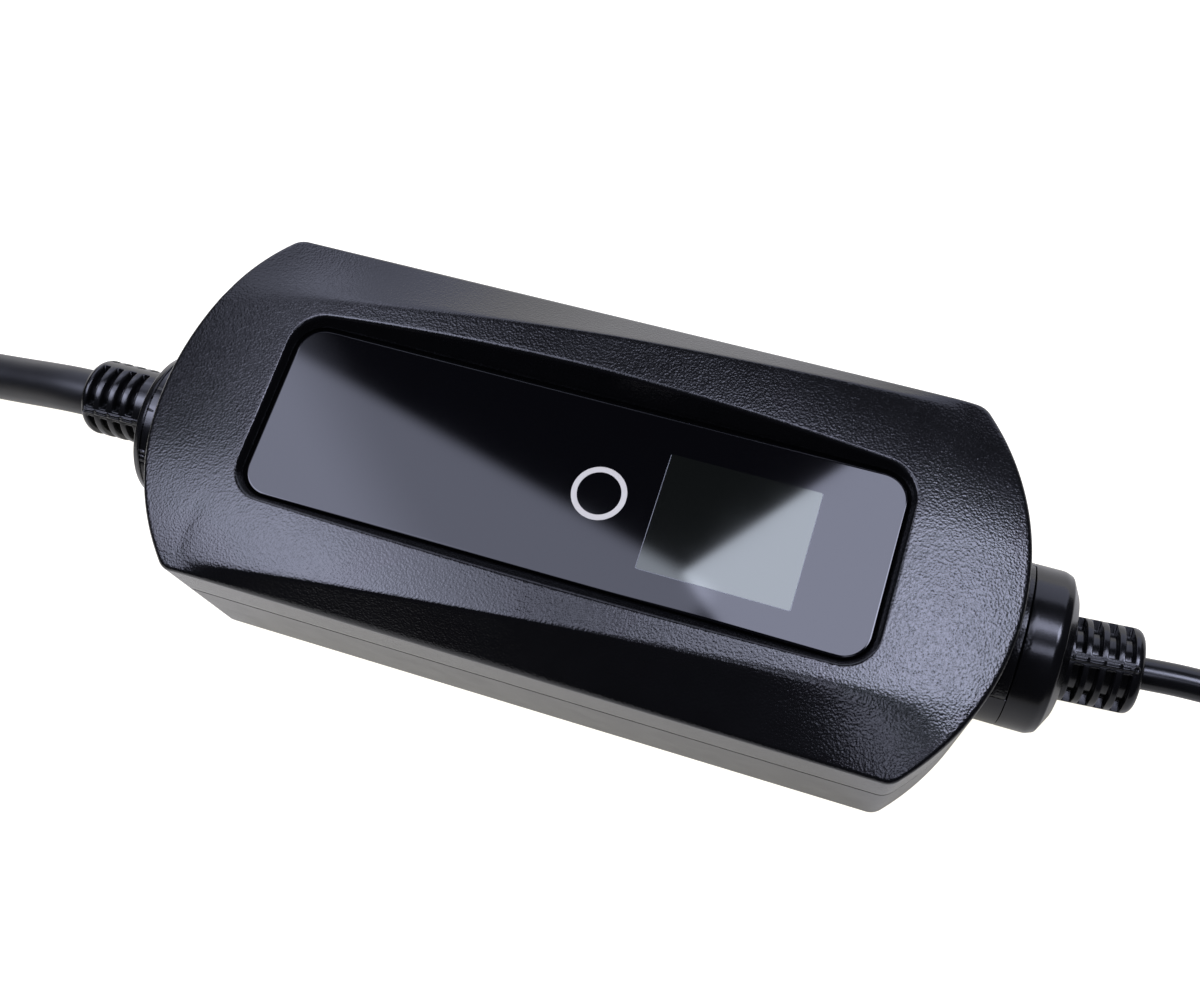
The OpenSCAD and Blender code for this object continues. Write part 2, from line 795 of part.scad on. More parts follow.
// Boot of a strain relief: rows of slots, split by four bridges, two mould ridges and a round end
module slotted_boot(boot_l, pitch) {
    r = boot_d / 2;
    straight = boot_l - boot_round;
    sunk = 3;
    for (side = [-1, 1]) translate([side * (r - 1), 0, straight / 2])
        cube([2 + 2 * ridge_h, ridge_w, straight], center = true);
    difference() {
        rotate_extrude() {
            translate([0, -sunk]) square([r, straight + sunk]);
            square([r - boot_round, boot_l]);
            translate([r - boot_round, straight]) circle(boot_round);
        }
        for (row = [0 : 3]) translate([0, 0, boot_l - slot_end - slot_w - row * pitch]) difference() {
            rotate_extrude() translate([r - slot_depth, 0]) square([slot_depth + 1, slot_w]);
            for (turn = [0 : 90 : 270]) rotate(turn)
                translate([0, -bridge_w / 2, -1]) cube([r + 2, bridge_w, slot_w + 2]);
        }
    }
}

// Strain relief moulding: lip inside the wall, neck through it, bevelled flange and tilted boot outside
module strain_relief(flange_l, boot_l, pitch, boot_y, droop, lean, turn) {
    r = boss_d / 2;
    translate([boss_face, 0, 0]) {
        along_x() rotate_extrude() {
            translate([0, -neck_l - lip_l]) square([lip_d / 2, lip_l]);
            translate([0, -neck_l - eps]) square([neck_d / 2, neck_l + 2 * eps]);
            polygon([[0, 0], [r, 0], [r, flange_l - flange_bevel_l],
                [r - 0.15 * flange_bevel_w, flange_l - 0.55 * flange_bevel_l],
                [r - flange_bevel_w, flange_l], [0, flange_l]]);
        }
        translate([flange_l, boot_y, 0]) rotate([0, droop, lean]) along_x() rotate(turn)
            slotted_boot(boot_l, pitch);
    }
}

module supply_relief() {
    color("#1d1d1f") at_supply_end()
        strain_relief(supply_flange_l, supply_boot_l, slot_pitch, 0, 0, supply_lean, 13);
}

module vehicle_relief() {
    color("#1d1d1f") at_vehicle_end()
        strain_relief(vehicle_flange_l, vehicle_boot_l, vehicle_slot_pitch, -vehicle_boot_y,
            vehicle_droop, 0, -45);
}

module supply_cord() {
    color("#1e1e20") tube(supply_route, supply_d, supply_way, [1, 0, 0]);
}

module vehicle_cable() {
    color("#1e1e20") tube(vehicle_route, vehicle_d, vehicle_way, [-1, 0, 0]);
}

// Outer shape of a hank: an outline with round ends, and the straight leads at its two ends
module hank(near_x, far_x, y, r, h) {
    translate([0, y, strap_t]) linear_extrude(h) {
        translate([(near_x + far_x) / 2, 0]) square([abs(far_x - near_x), 2 * r], center = true);
        for (x = [near_x, far_x]) translate([x, 0]) circle(r);
    }
}

module lead(x, y, z, d, l) {
    translate([x, y, z]) rotate([0, l > 0 ? 90 : -90, 0]) cylinder(d = d, h = abs(l));
}

module vehicle_hank() {
    color("#1e1e20") {
        hank(vehicle_hank_x, vehicle_hank_far, 0, vehicle_hank_r, vehicle_hank_h);
        lead(vehicle_hank_x, -vehicle_out_r, strap_t + vehicle_d / 2, vehicle_d, vehicle_lead);
        lead(vehicle_hank_far, -vehicle_out_r, vehicle_top_z, vehicle_d, -vehicle_tail_lead);
    }
}

module supply_hank() {
    color("#1e1e20") {
        hank(supply_hank_x, supply_hank_far, supply_hank_y, supply_hank_r, supply_hank_h);
        lead(supply_hank_x, supply_hank_y - supply_out_r, strap_t + supply_d / 2, supply_d, -supply_lead);
        lead(supply_hank_far, supply_hank_y - supply_out_r, supply_top_z, supply_d, supply_tail_lead);
    }
}

module supply_tail() {
    color("#1e1e20") tube(supply_tail_route, supply_d, [1, 0, 0], [-1, 0, 0]);
}

module vehicle_tail() {
    color("#1e1e20") tube(vehicle_tail_route, vehicle_d, [-1, 0, 0], [1, 0, 0]);
}

// Band of hook-and-loop tape round a hank
module strap(x, y, r, h) {
    translate([x - strap_w / 2, y, strap_t + h / 2]) rotate([90, 0, 90]) linear_extrude(strap_w)
        difference() {
            rounded_rectangle(2 * r + 2 * strap_t, h + 2 * strap_t, strap_t);
            square([2 * r, h], center = true);
        }
}

module supply_strap() {
    middle = (supply_hank_x + supply_hank_far) / 2;
    color("#2a2a2d") strap(middle, supply_hank_y, supply_hank_r, supply_hank_h);
}

module vehicle_straps() {
    color("#2a2a2d") for (x = [vehicle_hank_x - strap_inset, vehicle_hank_far + strap_inset])
        strap(x, 0, vehicle_hank_r, vehicle_hank_h);
}

module at_plug() {
    translate(plug_pos) rotate(180) children();
}

module plug_body() {
    shoulder = plug_l - plug_front;
    color("#1c1c1e") at_plug() difference() {
        along_x() rotate_extrude() polygon([[0, 0], [plug_grip_r - 1.5, 0], [plug_grip_r, plug_neck_l],
            [plug_grip_r + 2, plug_flare_l], [plug_r - 3, shoulder - 4], [plug_r, shoulder],
            [plug_r, plug_l - 1], [plug_r - 1, plug_l], [0, plug_l]]);
        for (i = [0 : plug_rings - 1]) let (at = plug_ring_at + i * plug_ring_pitch)
            along_x() translate([0, 0, at]) rotate_extrude()
                translate([plug_grip_r - 1.5 + 1.5 * at / plug_neck_l - plug_ring_depth, 0])
                    square([3, plug_ring_w]);
        for (side = [-1, 1]) {
            translate([shoulder + 4, side > 0 ? plug_r - plug_notch : -plug_r - 1, -6])
                cube([plug_front, plug_notch + 1, 12]);
            translate([plug_l - pin_root, 0, side * pin_pitch / 2]) along_x()
                cylinder(d = pin_d + 2 * fit_gap, h = pin_root + 1);
        }
    }
}

module plug_pins() {
    color("#c9ccd0") at_plug() for (side = [-1, 1])
        translate([plug_l - pin_root, 0, side * pin_pitch / 2]) along_x() {
            cylinder(d = pin_d, h = pin_root + pin_l - pin_d / 2);
            translate([0, 0, pin_root + pin_l - pin_d / 2]) sphere(d = pin_d);
        }
}

module plug_earth() {
    floor_y = plug_r - plug_notch;
    color("#c9ccd0") at_plug() for (y = [floor_y, -floor_y - earth_t])
        translate([plug_l - plug_front + 5, y, -2.5]) cube([plug_front - 5, earth_t, 5]);
}

module at_connector() {
    translate(connector_pos) children();
}

// Grip of the connector: round sections that all touch the level they lie on, and swell to the shoulder
function ease(t) = let (u = min(max(t, 0), 1)) u * u * (3 - 2 * u);
function grip_r(t) = 16 + 3 * ease(t / 0.25) + (shoulder_r - 19) * ease((t - 0.45) / 0.4);
function grip_ring(t, sides) = let (r = grip_r(t))
    [for (k = [0 : sides - 1]) let (a = 360 * k / sides)
        [grip_boot_l + t * grip_l, -r * cos(a), r + r * sin(a)]];

module grip_screw_places() {
    for (b = bulkheads, side = [-1, 1])
        translate([b[0] + b[1] / 2, 0, grip_cavity_z + side * 10]) rotate([-90, 0, 0]) children();
}

module grip_solid() {
    difference() {
        skin([for (i = [0 : 14]) grip_ring(i / 14, 32)]);
        translate([grip_boot_l - 1, 0, grip_boot_z]) along_x()
            cylinder(r = boot_plug_r + fit_gap, h = boot_plug_l + 1);
        translate([grip_boot_l + boot_plug_l, 0, grip_cavity_z]) along_x()
            cylinder(r = grip_cavity_r, h = bulkheads[0][0] - grip_boot_l - boot_plug_l);
        translate([bulkheads[0][0] + bulkheads[0][1], 0, grip_cavity_z]) along_x()
            cylinder(r = grip_cavity_r, h = bulkheads[1][0] - bulkheads[0][0] - bulkheads[0][1]);
        for (b = bulkheads) translate([b[0] - 1, 0, grip_cavity_z]) along_x()
            cylinder(r = core_hole_r, h = b[1] + 2);
        translate([nose_cavity_x, 0, nose_z - 2]) along_x()
            cylinder(r = nose_cavity_r, h = grip_front - nose_in - nose_cavity_x);
        translate([grip_front - nose_in, 0, nose_z]) along_x()
            cylinder(r = nose_r + fit_gap, h = nose_in + 1);
        grip_screw_places() {
            translate([0, 0, -grip_screw_seat])
                cylinder(d = case_screw_d + 2 * screw_gap, h = 2 * grip_screw_seat);
            translate([0, 0, grip_screw_seat]) cylinder(d = head_d + 0.6, h = shoulder_r);
        }
    }
}

module connector_left() {
    color("#1b1b1e") at_connector() intersection() {
        grip_solid();
        translate([0, 0, -1]) cube([2 * grip_l, 4 * shoulder_r, 4 * shoulder_r]);
    }
}

module connector_right() {
    color("#1b1b1e") at_connector() intersection() {
        grip_solid();
        translate([0, -4 * shoulder_r, -1]) cube([2 * grip_l, 4 * shoulder_r, 4 * shoulder_r]);
    }
}

module connector_screws() {
    color("#8f9398") at_connector() grip_screw_places() {
        translate([0, 0, grip_screw_seat]) cylinder(d = head_d, h = head_h);
        translate([0, 0, -grip_screw_bite])
            cylinder(d = case_screw_d, h = grip_screw_bite + grip_screw_seat + eps);
    }
}

module connector_boot() {
    tip_r = 9;
    rings = 5;
    ring_pitch = 6;
    color("#232325") at_connector() translate([0, 0, grip_boot_z]) along_x() difference() {
        union() {
            cylinder(r1 = tip_r, r2 = boot_plug_r + 2, h = grip_boot_l);
            cylinder(r = boot_plug_r, h = grip_boot_l + boot_plug_l);
        }
        for (i = [0 : rings - 1]) translate([0, 0, 3 + i * ring_pitch]) rotate_extrude()
            translate([tip_r - 0.8 + i * 0.85, 0]) square([8, 2.4]);
    }
}

// Round nose with a flat along its top
module nose_section(r) {
    difference() {
        circle(r);
        translate([-r, r - 5]) square([2 * r, 2 * r]);
    }
}

module nose_frame() {
    translate([grip_front - nose_in, 0, nose_z]) rotate([90, 0, 90]) children();
}

module connector_nose() {
    color("#141416") at_connector() nose_frame() difference() {
        linear_extrude(nose_in + nose_out) nose_section(nose_r);
        for (p = contact_spots) translate([p[0], p[1], -1])
            cylinder(r = contact_bore / 2 + contact_wall + fit_gap, h = nose_in + nose_out + 2);
        for (p = pilot_spots) translate([p[0], p[1], -1])
            cylinder(r = pilot_bore / 2 + contact_wall + fit_gap, h = nose_in + nose_out + 2);
    }
}

module contact(bore) {
    back = 12;
    difference() {
        cylinder(r = bore / 2 + contact_wall, h = nose_in + nose_out - 2);
        translate([0, 0, back]) cylinder(r = bore / 2, h = nose_in + nose_out);
    }
}

module connector_contacts() {
    color("#c8cace") at_connector() nose_frame() {
        for (p = contact_spots) translate([p[0], p[1], 0]) contact(contact_bore);
        for (p = pilot_spots) translate([p[0], p[1], 0]) contact(pilot_bore);
    }
}

// Cores that fan out from the cable boot to the backs of the contacts
module connector_cores() {
    bundle = 0.28;
    color("#7a4a3a") at_connector() for (p = concat(contact_spots, pilot_spots)) {
        y = bundle * p[0];
        z = grip_cavity_z + bundle * p[1];
        fan = grip_front - nose_in;
        route = [[grip_boot_l + boot_plug_l, y, z], [nose_cavity_x, y, z],
            [nose_cavity_x + 14, (y + p[0]) / 2, (z + nose_z + p[1]) / 2],
            [fan - 8, p[0], nose_z + p[1]], [fan, p[0], nose_z + p[1]]];
        tube(route, 2 * core_r, [1, 0, 0], [1, 0, 0], 8);
    }
}

module connector_cap() {
    end_gap = 2;
    color("#262628") at_connector() nose_frame() translate([0, 0, nose_in]) difference() {
        linear_extrude(nose_out + end_gap + cap_t) circle(nose_r + cap_t);
        translate([0, 0, -1]) linear_extrude(nose_out + end_gap + 1) nose_section(nose_r + 2 * fit_gap);
    }
}

lower_shell();
upper_shell();
case_seal();
glass_panel();
panel_tape();
touch_ring();
screen_module();
screen_cushion();
touch_pillar();
control_board();
control_screws();
board_ribbon();
power_board();
power_screws();
relays();
fault_sensor();
supply_converter();
filter_capacitors();
supply_terminals();
vehicle_terminals();
supply_cores();
vehicle_cores();
supply_clamp();
vehicle_clamp();
clamp_screws();
case_screws();
supply_relief();
vehicle_relief();
supply_cord();
supply_hank();
supply_tail();
supply_strap();
plug_body();
plug_pins();
plug_earth();
vehicle_cable();
vehicle_hank();
vehicle_tail();
vehicle_straps();
connector_left();
connector_right();
connector_boot();
connector_nose();
connector_contacts();
connector_cores();
connector_cap();
connector_screws();
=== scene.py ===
"""Looks of a portable charger for electric cars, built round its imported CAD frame."""

import math

import bmesh
import bpy
from bpy.props import FloatProperty, FloatVectorProperty, PointerProperty
from mathutils import Matrix, Vector


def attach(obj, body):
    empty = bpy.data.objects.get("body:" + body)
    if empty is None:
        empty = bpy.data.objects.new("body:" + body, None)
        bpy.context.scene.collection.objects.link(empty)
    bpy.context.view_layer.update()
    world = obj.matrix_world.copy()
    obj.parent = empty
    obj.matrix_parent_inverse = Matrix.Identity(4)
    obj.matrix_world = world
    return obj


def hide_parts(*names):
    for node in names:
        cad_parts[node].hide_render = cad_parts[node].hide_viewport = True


bl_info = {
    "name": "Portable Car Charger",
    "version": (1, 0, 0),
    "blender": (4, 5, 0),
    "location": "3D View > Sidebar > Charger",
    "description": "Builds the pieces, finishes and stage of a portable charger for electric cars",
    "category": "Object",
}

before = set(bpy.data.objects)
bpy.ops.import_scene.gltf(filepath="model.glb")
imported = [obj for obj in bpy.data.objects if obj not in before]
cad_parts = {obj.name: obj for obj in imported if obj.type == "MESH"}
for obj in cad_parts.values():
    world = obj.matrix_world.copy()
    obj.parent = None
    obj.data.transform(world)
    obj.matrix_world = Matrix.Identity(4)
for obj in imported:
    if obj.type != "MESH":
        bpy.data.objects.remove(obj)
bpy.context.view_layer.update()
MM = 0.001

# All lengths are in millimetres except those of the lights; x runs along the case, y to its far side, z up

# Case: half its width, radii of its ends and corners, insets of the parting groove and of the inner wall
HALF_WIDTH = 45
END_R = 64
CORNER_R = 4.5
GROOVE_INSET = 0.9
WALL = 2.8

# Heights of the parting plane, the deck's two faces, the facets' outer edge, the glass and the crown
PARTING_Z = 31
DECK_LOW_Z = 45.2
DECK_Z = 47.5
FACET_EDGE_Z = 48.4
GLASS_Z = 50
CROWN_Z = 58
CROWN_R = 560

# Top: level across to ROLL_Y, then rolling over to a crease that turns and falls along the case; no facet
# comes nearer to the middle than FACET_Y
ROLL_Y = 11
FACET_Y = 25
CREASE_Y = 35.2
CREASE_TURN = 0.09
CREASE_FALL = 0.038

# Glass panel: the deck's opening under it as half length, half width and corner, its own corner, its gap to
# the recess, the recess's draft, the window's middle and half size, and the touch key's middle
DECK_OPENING = (68, 17.5, 3)
GLASS_CORNER = 6.5
GLASS_GAP = 0.6
RECESS_DRAFT = math.tan(math.radians(24))
WINDOW_SPOT = (38.75, -0.7)
WINDOW_HALF = (17.75, 14.2)
KEY_SPOT = (7.7, -0.2)

# Cord entries: their height, the wall's inner face, the bosses' radius and face, and how far across the
# case the car cable's flange stands
ENTRY_Z = 20.5
ENTRY_WALL_X = 99.23
BOSS_R = 19.5
BOSS_FACE = 107
CAR_ENTRY_Y = -3.2

# Strain reliefs: radii of the lip and the neck in the wall, of the boot and of its rounded tip; width and
# depth of the boot's slots; half the width of the bridges between them and of the mould ridges
LIP_R = 15
NECK_R = 12
BOOT_R = 10
TIP_R = 2
SLOT_W = 2
SLOT_DEEP = 2.6
BRIDGE_HALF = 1.6
RIDGE_HALF = 0.65

# Hanks: the middle and the straight run of each, the radii of its inner and outer turns; and the straps
CAR_HANK = (-406, 0)
CAR_RUN = 112
CAR_TURNS = (37.5, 50)
SUPPLY_HANK = (307.5, -22.5)
SUPPLY_RUN = 65
SUPPLY_TURNS = (22.5, 30)
STRAP_T = 1.5
STRAP_W = 20

# Connector: the point under its cable end that it is measured from, the grip's start and length, its flank
# ribs and their width, its screws' places along it, above it and across it, the radius of their holes, the
# dust cap's radius and the number of its grooves
CONNECTOR_SPOT = (-482, 25, 53)
GRIP_START = 36
GRIP_L = 132
RIBS_X = [14 + 6 * i for i in range(8)]
RIB_W = 3
SCREWS_X = (68, 117)
SCREWS_Z = (8, 28)
SCREW_SEAT = 8.9
HOLE_R = 3.1
CAP_R = 29.4
CAP_GROOVES = 18

# Plug: the middle of its cord end
PLUG_SPOT = (358, 33, 19)

# Camera, solved from the edges of the glass: its lens, its place and its right, down and forward directions
CAMERA_LENS = 41.636
CAMERA_SPOT = (70.18, -95.56, 345.99)
CAMERA_RIGHT = (0.94701171, 0.30493479, -0.10091376)
CAMERA_DOWN = (0.25515728, -0.90503774, -0.34029611)
CAMERA_AHEAD = (-0.19509889, 0.29651552, -0.93488768)

# Lights: name, place, aim or None for straight down, size, turn in degrees, watts, and the share of the
# width that fades at the rim. Places and sizes are in metres. No two hang at one height, because lamps
# in one plane hide each other in a mirror
LIGHTS = [
    ("left softbox", (-0.58, 0.059, 1.05), None, (0.926, 0.66), -14.4, 6.2, 0.03),
    ("left lamp", (-0.98, -0.12, 1.048), None, (1.0, 0.6), -14.4, 9.0, 0.12),
    ("left glow", (-0.645, 0.12, 1.046), None, (0.6, 0.6), -45, 1.9, 0.16),
    ("right softbox", (0.137, 0.323, 1.044), None, (0.402, 0.3), 51, 2.45, 0.03),
    ("right lamp", (0.5, 0.28, 1.042), None, (0.42, 0.36), 45, 7.0, 0.15),
    ("near fill", (0.3, -0.25, 1.04), None, (0.3, 0.25), 0, 1.1, 0.2),
    ("backdrop", (-0.3, 1.25, 0.45), (-0.3, 0, 0.45), (2.4, 0.9), 0, 9.0, 0.05),
    ("back panel", (-1.15, 1.05, 0.95), (-0.1, 0, 0.03), (1.1, 0.9), 0, 5.0, 0.2),
]

# Routes of the cords between the charger, their hanks and their far ends
CAR_ROUTE = [
    (-137.247, 0, 18.979), (-146, 0, 17.9), (-155, 0, 15.8), (-166, 0, 12.8), (-178, 0, 9.9),
    (-190, 0, 7.8), (-205, -2, 6.7), (-220, -8, 6.5), (-236, -18, 6.5), (-252, -29, 6.7),
    (-268, -39, 7.1), (-285, -47, 7.5), (-302, -50, 7.75), (-326, -50, 7.75),
]
CAR_TAIL = [
    (-484, -50, 45.25), (-500, -50, 45.25), (-512, -48.5, 47), (-525, -42, 50), (-534, -31, 54),
    (-537, -17, 58), (-535, -2, 61.5), (-528, 11, 64.5), (-516, 20.5, 67), (-500, 25, 68.5),
    (-482, 25, 69), (-476, 25, 69),
]
SUPPLY_ROUTE = [
    (134.959, 1.172, 20.5), (146, 2, 20.4), (157, 2, 20), (169, 0, 19), (181, -6, 17),
    (193, -16, 14.3), (205, -28, 11.4), (217, -39, 8.8), (229, -47.5, 6.8), (245, -52.5, 5.25),
    (260, -52.5, 5.25),
]
SUPPLY_TAIL = [
    (356, -52.5, 12.75), (371, -52.5, 12.75), (386, -50, 9.5), (401, -40, 6), (411, -25, 4.2),
    (413, -10, 3.9), (410, 7, 5), (399, 21, 8.5), (385, 30, 13.5), (371, 33, 17.5),
    (358, 33, 19), (352, 33, 19),
]


def linear(code):
    """Turns an sRGB hex colour into the linear numbers that a shader takes."""
    parts = [int(code[i:i + 2], 16) / 255 for i in (1, 3, 5)]
    return tuple(c / 12.92 if c <= 0.04045 else ((c + 0.055) / 1.055) ** 2.4 for c in parts)


def per_mm(size):
    """Scale of a pattern whose cells are this many millimetres wide."""
    return 1 / (size * MM)


def colour_prop(name, code, note):
    """A colour that a user may change, given as sRGB hex."""
    return FloatVectorProperty(
        name=name, description=note, subtype="COLOR", size=3, min=0, max=1, default=linear(code))


def length_prop(name, size, note):
    """A length that a user may change, given in millimetres."""
    return FloatProperty(
        name=name, description=note, subtype="DISTANCE", unit="LENGTH", min=0, precision=5,
        default=size * MM)


class ChargerSizes(bpy.types.PropertyGroup):
    """Sizes of the looks that a user would change; the CAD frame sets all the others."""

    case_length: length_prop("Case length", 210, "Length of the case over its round ends")
    case_width: length_prop("Case width", 90, "Width of the case")
    glass_length: length_prop("Glass length", 150, "Length of the glass panel")
    glass_width: length_prop("Glass width", 44, "Width of the glass panel")
    rim_round: length_prop("Rim round", 0.8, "Round of the edge where the recess meets the top")
    edge_round: length_prop("Edge round", 1.2, "Round of the edge where the top meets the sides")
    grain: length_prop("Grain", 0.5, "Width of one cell of the cover's moulded grain")
    car_cable: length_prop("Car cable", 12.5, "Diameter of the cable to the car")
    supply_cord: length_prop("Supply cord", 7.5, "Diameter of the cord to the supply")


class ChargerColours(bpy.types.PropertyGroup):
    """Colours of the finishes that a user would change."""

    cover: colour_prop("Cover", "#0c0c0d", "Moulded plastic of the cover")
    base: colour_prop("Base", "#0e0e0f", "Moulded plastic of the base")
    glass: colour_prop("Glass", "#040406", "Print behind the glass panel")
    ring: colour_prop("Ring", "#d2ccbd", "Printed ring of the touch key")
    relief: colour_prop("Strain reliefs", "#0b0b0c", "Soft plastic of the strain reliefs")
    sheath: colour_prop("Sheaths", "#0d0d0e", "Sheaths of both cords")
    strap: colour_prop("Straps", "#222225", "Woven tape of the straps")
    grip: colour_prop("Connector", "#1b1b1e", "Moulded plastic of the connector and plug")


def add_node(tree, kind, values=None, links=None, **settings):
    """Adds one shader node with its settings, its socket values and the sockets that feed it."""
    made = tree.nodes.new(kind)
    for key, value in settings.items():
        setattr(made, key, value)
    for key, value in (values or {}).items():
        made.inputs[key].default_value = value
    for key, source in (links or {}).items():
        tree.links.new(source, made.inputs[key])
    return made


def start_material(name, **sockets):
    """A new material; sockets are the constants of its shader, spelt with underscores."""
    material = bpy.data.materials.new(name)
    material.use_nodes = True
    shader = material.node_tree.nodes["Principled BSDF"]
    for key, value in sockets.items():
        shader.inputs[key.replace("_", " ")].default_value = value
    place = add_node(material.node_tree, "ShaderNodeTexCoord")
    return material, material.node_tree, shader, place.outputs["Object"]


def shade(colour, factor=1):
    """A colour, made lighter or darker by a factor, with the alpha that a socket needs."""
    return tuple(min(1, c * factor) for c in colour) + (1,)


def moulded(name, colour, roughness, grain, depth, spread=0.08, mottle=9, tone=0.25, ior=1.5):
    """Plastic, rubber, foam or ink: a fine grain, faint flow marks and dull patches.

    grain is the width of a grain cell, depth its height and mottle the width of a flow mark, in millimetres;
    spread is how far the roughness varies and tone how far the colour does.
    """
    material, tree, shader, place = start_material(name, IOR=ior)
    cells = add_node(
        tree, "ShaderNodeTexVoronoi", {"Scale": per_mm(grain), "Randomness": 1.0},
        {"Vector": place}, feature="SMOOTH_F1")
    flow = add_node(
        tree, "ShaderNodeTexNoise", {"Scale": per_mm(mottle), "Detail": 5.0, "Roughness": 0.6},
        {"Vector": place})
    fine = add_node(
        tree, "ShaderNodeTexNoise", {"Scale": per_mm(grain * 0.8), "Detail": 2.0},
        {"Vector": place})
    tint = add_node(
        tree, "ShaderNodeMix",
        {6: shade(colour, 1 - tone), 7: shade(colour, 1 + tone)}, {0: flow.outputs["Fac"]},
        data_type="RGBA")
    tree.links.new(tint.outputs[2], shader.inputs["Base Color"])
    dull = add_node(
        tree, "ShaderNodeMapRange",
        {"From Min": 0.25, "From Max": 0.75, "To Min": roughness - spread, "To Max": roughness + spread},
        {"Value": flow.outputs["Fac"]})
    tree.links.new(dull.outputs["Result"], shader.inputs["Roughness"])
    height = add_node(
        tree, "ShaderNodeMath", {1: 0.6}, {0: fine.outputs["Fac"], 2: cells.outputs["Distance"]},
        operation="MULTIPLY_ADD")
    bump = add_node(
        tree, "ShaderNodeBump", {"Strength": 1.0, "Distance": depth * MM},
        {"Height": height.outputs["Value"]})
    tree.links.new(bump.outputs["Normal"], shader.inputs["Normal"])
    return material


def metal(name, code, roughness, streak):
    """Drawn or plated metal: clean, with fine streaks from the die or the plating bath.

    streak is the width of a streak in millimetres.
    """
    material, tree, shader, place = start_material(name, Metallic=1.0)
    lines = add_node(
        tree, "ShaderNodeTexNoise", {"Scale": per_mm(streak), "Detail": 4.0}, {"Vector": place})
    tint = add_node(
        tree, "ShaderNodeMix", {6: shade(linear(code), 0.85), 7: shade(linear(code), 1.1)},
        {0: lines.outputs["Fac"]}, data_type="RGBA")
    tree.links.new(tint.outputs[2], shader.inputs["Base Color"])
    dull = add_node(
        tree, "ShaderNodeMapRange", {"To Min": roughness - 0.08, "To Max": roughness + 0.08},
        {"Value": lines.outputs["Fac"]})
    tree.links.new(dull.outputs["Result"], shader.inputs["Roughness"])
    return material


def polished(name, **sockets):
    """Polished glass: a clear mirror, softened a little by the uneven film that wiping leaves."""
    material, tree, shader, place = start_material(name, **sockets)
    film = add_node(
        tree, "ShaderNodeTexNoise", {"Scale": per_mm(18), "Detail": 6.0}, {"Vector": place})
    haze = add_node(
        tree, "ShaderNodeMapRange", {"To Min": 0.03, "To Max": 0.06}, {"Value": film.outputs["Fac"]})
    tree.links.new(haze.outputs["Result"], shader.inputs["Roughness"])
    return material


def dress(material, *nodes):
    """Gives CAD nodes that keep their shape a finish of their own."""
    for node in nodes:
        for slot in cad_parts[node].material_slots:
            slot.material = material


def loft(rings, joined=False):
    """Skins a row of closed rings into a closed mesh; joined makes the last ring meet the first."""
    shape = bmesh.new()
    rows = [[shape.verts.new(Vector(point) * MM) for point in ring] for ring in rings]
    pairs = list(zip(rows, rows[1:]))
    if joined:
        pairs.append((rows[-1], rows[0]))
    else:
        shape.faces.new(rows[0][::-1])
        shape.faces.new(rows[-1])
    for low, high in pairs:
        for i in range(len(low)):
            j = (i + 1) % len(low)
            shape.faces.new((low[i], low[j], high[j], high[i]))
    return shape


def piece_from(name, shapes, material, slot, *nodes):
    """Makes one object of closed shapes, rides it on the charger and hides the CAD nodes it takes the place
    of.
    """
    mesh = bpy.data.meshes.new(name)
    whole = bmesh.new()
    for shape in shapes:
        bmesh.ops.recalc_face_normals(shape, faces=shape.faces)
        shape.to_mesh(mesh)
        shape.free()
        whole.from_mesh(mesh)
    whole.to_mesh(mesh)
    whole.free()
    mesh.shade_smooth()
    mesh.materials.append(material)
    piece = bpy.data.objects.new(name, mesh)
    bpy.context.scene.collection.objects.link(piece)
    even = piece.modifiers.new("Even shading", "WEIGHTED_NORMAL")
    even.keep_sharp = True
    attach(piece, "root")
    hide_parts(*nodes)
    return piece


def mix(a, b, t):
    """Point between two points."""
    return tuple(p + (q - p) * t for p, q in zip(a, b))


def bend(start, corner, end, steps):
    """Points of a soft edge from start to end, pulled towards the corner."""
    return [mix(mix(start, corner, i / steps), mix(corner, end, i / steps), i / steps)
            for i in range(steps + 1)]


def ease(t):
    """Smooth step from 0 to 1."""
    t = min(max(t, 0), 1)
    return t * t * (3 - 2 * t)


def pulse(x, low, high, soft):
    """1 between low and high, 0 outside, with soft flanks."""
    return ease((x - low) / soft + 0.5) * ease((high - x) / soft + 0.5)


def quarter_plan(half_l, half_w, corner, end_r=None):
    """A quarter of a plan with its outward normals, from the middle of the far side to the end's middle.

    With end_r the end is an arc of that radius, otherwise it is straight.
    """
    side_steps, corner_steps, end_steps = 56, 18, 34
    places = []
    if end_r is None:
        cx, cy, turn = half_l - corner, half_w - corner, 0
    else:
        cy = half_w - corner
        reach = math.sqrt((end_r - corner) ** 2 - cy ** 2)
        cx = half_l - end_r + reach
        turn = math.atan2(cy, reach)
    for i in range(side_steps):
        places.append((cx * i / side_steps, half_w, 0, 1))
    for i in range(corner_steps):
        a = math.pi / 2 + (turn - math.pi / 2) * i / corner_steps
        places.append((cx + corner * math.cos(a), cy + corner * math.sin(a), math.cos(a), math.sin(a)))
    for i in range(end_steps + 1):
        t = 1 - i / end_steps
        if end_r is None:
            places.append((half_l, cy * t, 1, 0))
        else:
            a = turn * t
            places.append((half_l - end_r + end_r * math.cos(a), end_r * math.sin(a),
                           math.cos(a), math.sin(a)))
    return places


def whole_plan(quarter):
    """Mirrors a quarter into the whole closed plan, going round once."""
    ring = list(quarter)
    ring += [(x, -y, nx, -ny) for x, y, nx, ny in quarter[-2::-1]]
    ring += [(-x, -y, -nx, -ny) for x, y, nx, ny in quarter[1:]]
    ring += [(-x, y, -nx, ny) for x, y, nx, ny in quarter[-2:0:-1]]
    return ring


def crown(x):
    """Height of the cover's crown along the case."""
    return CROWN_Z - x * x / (2 * CROWN_R)


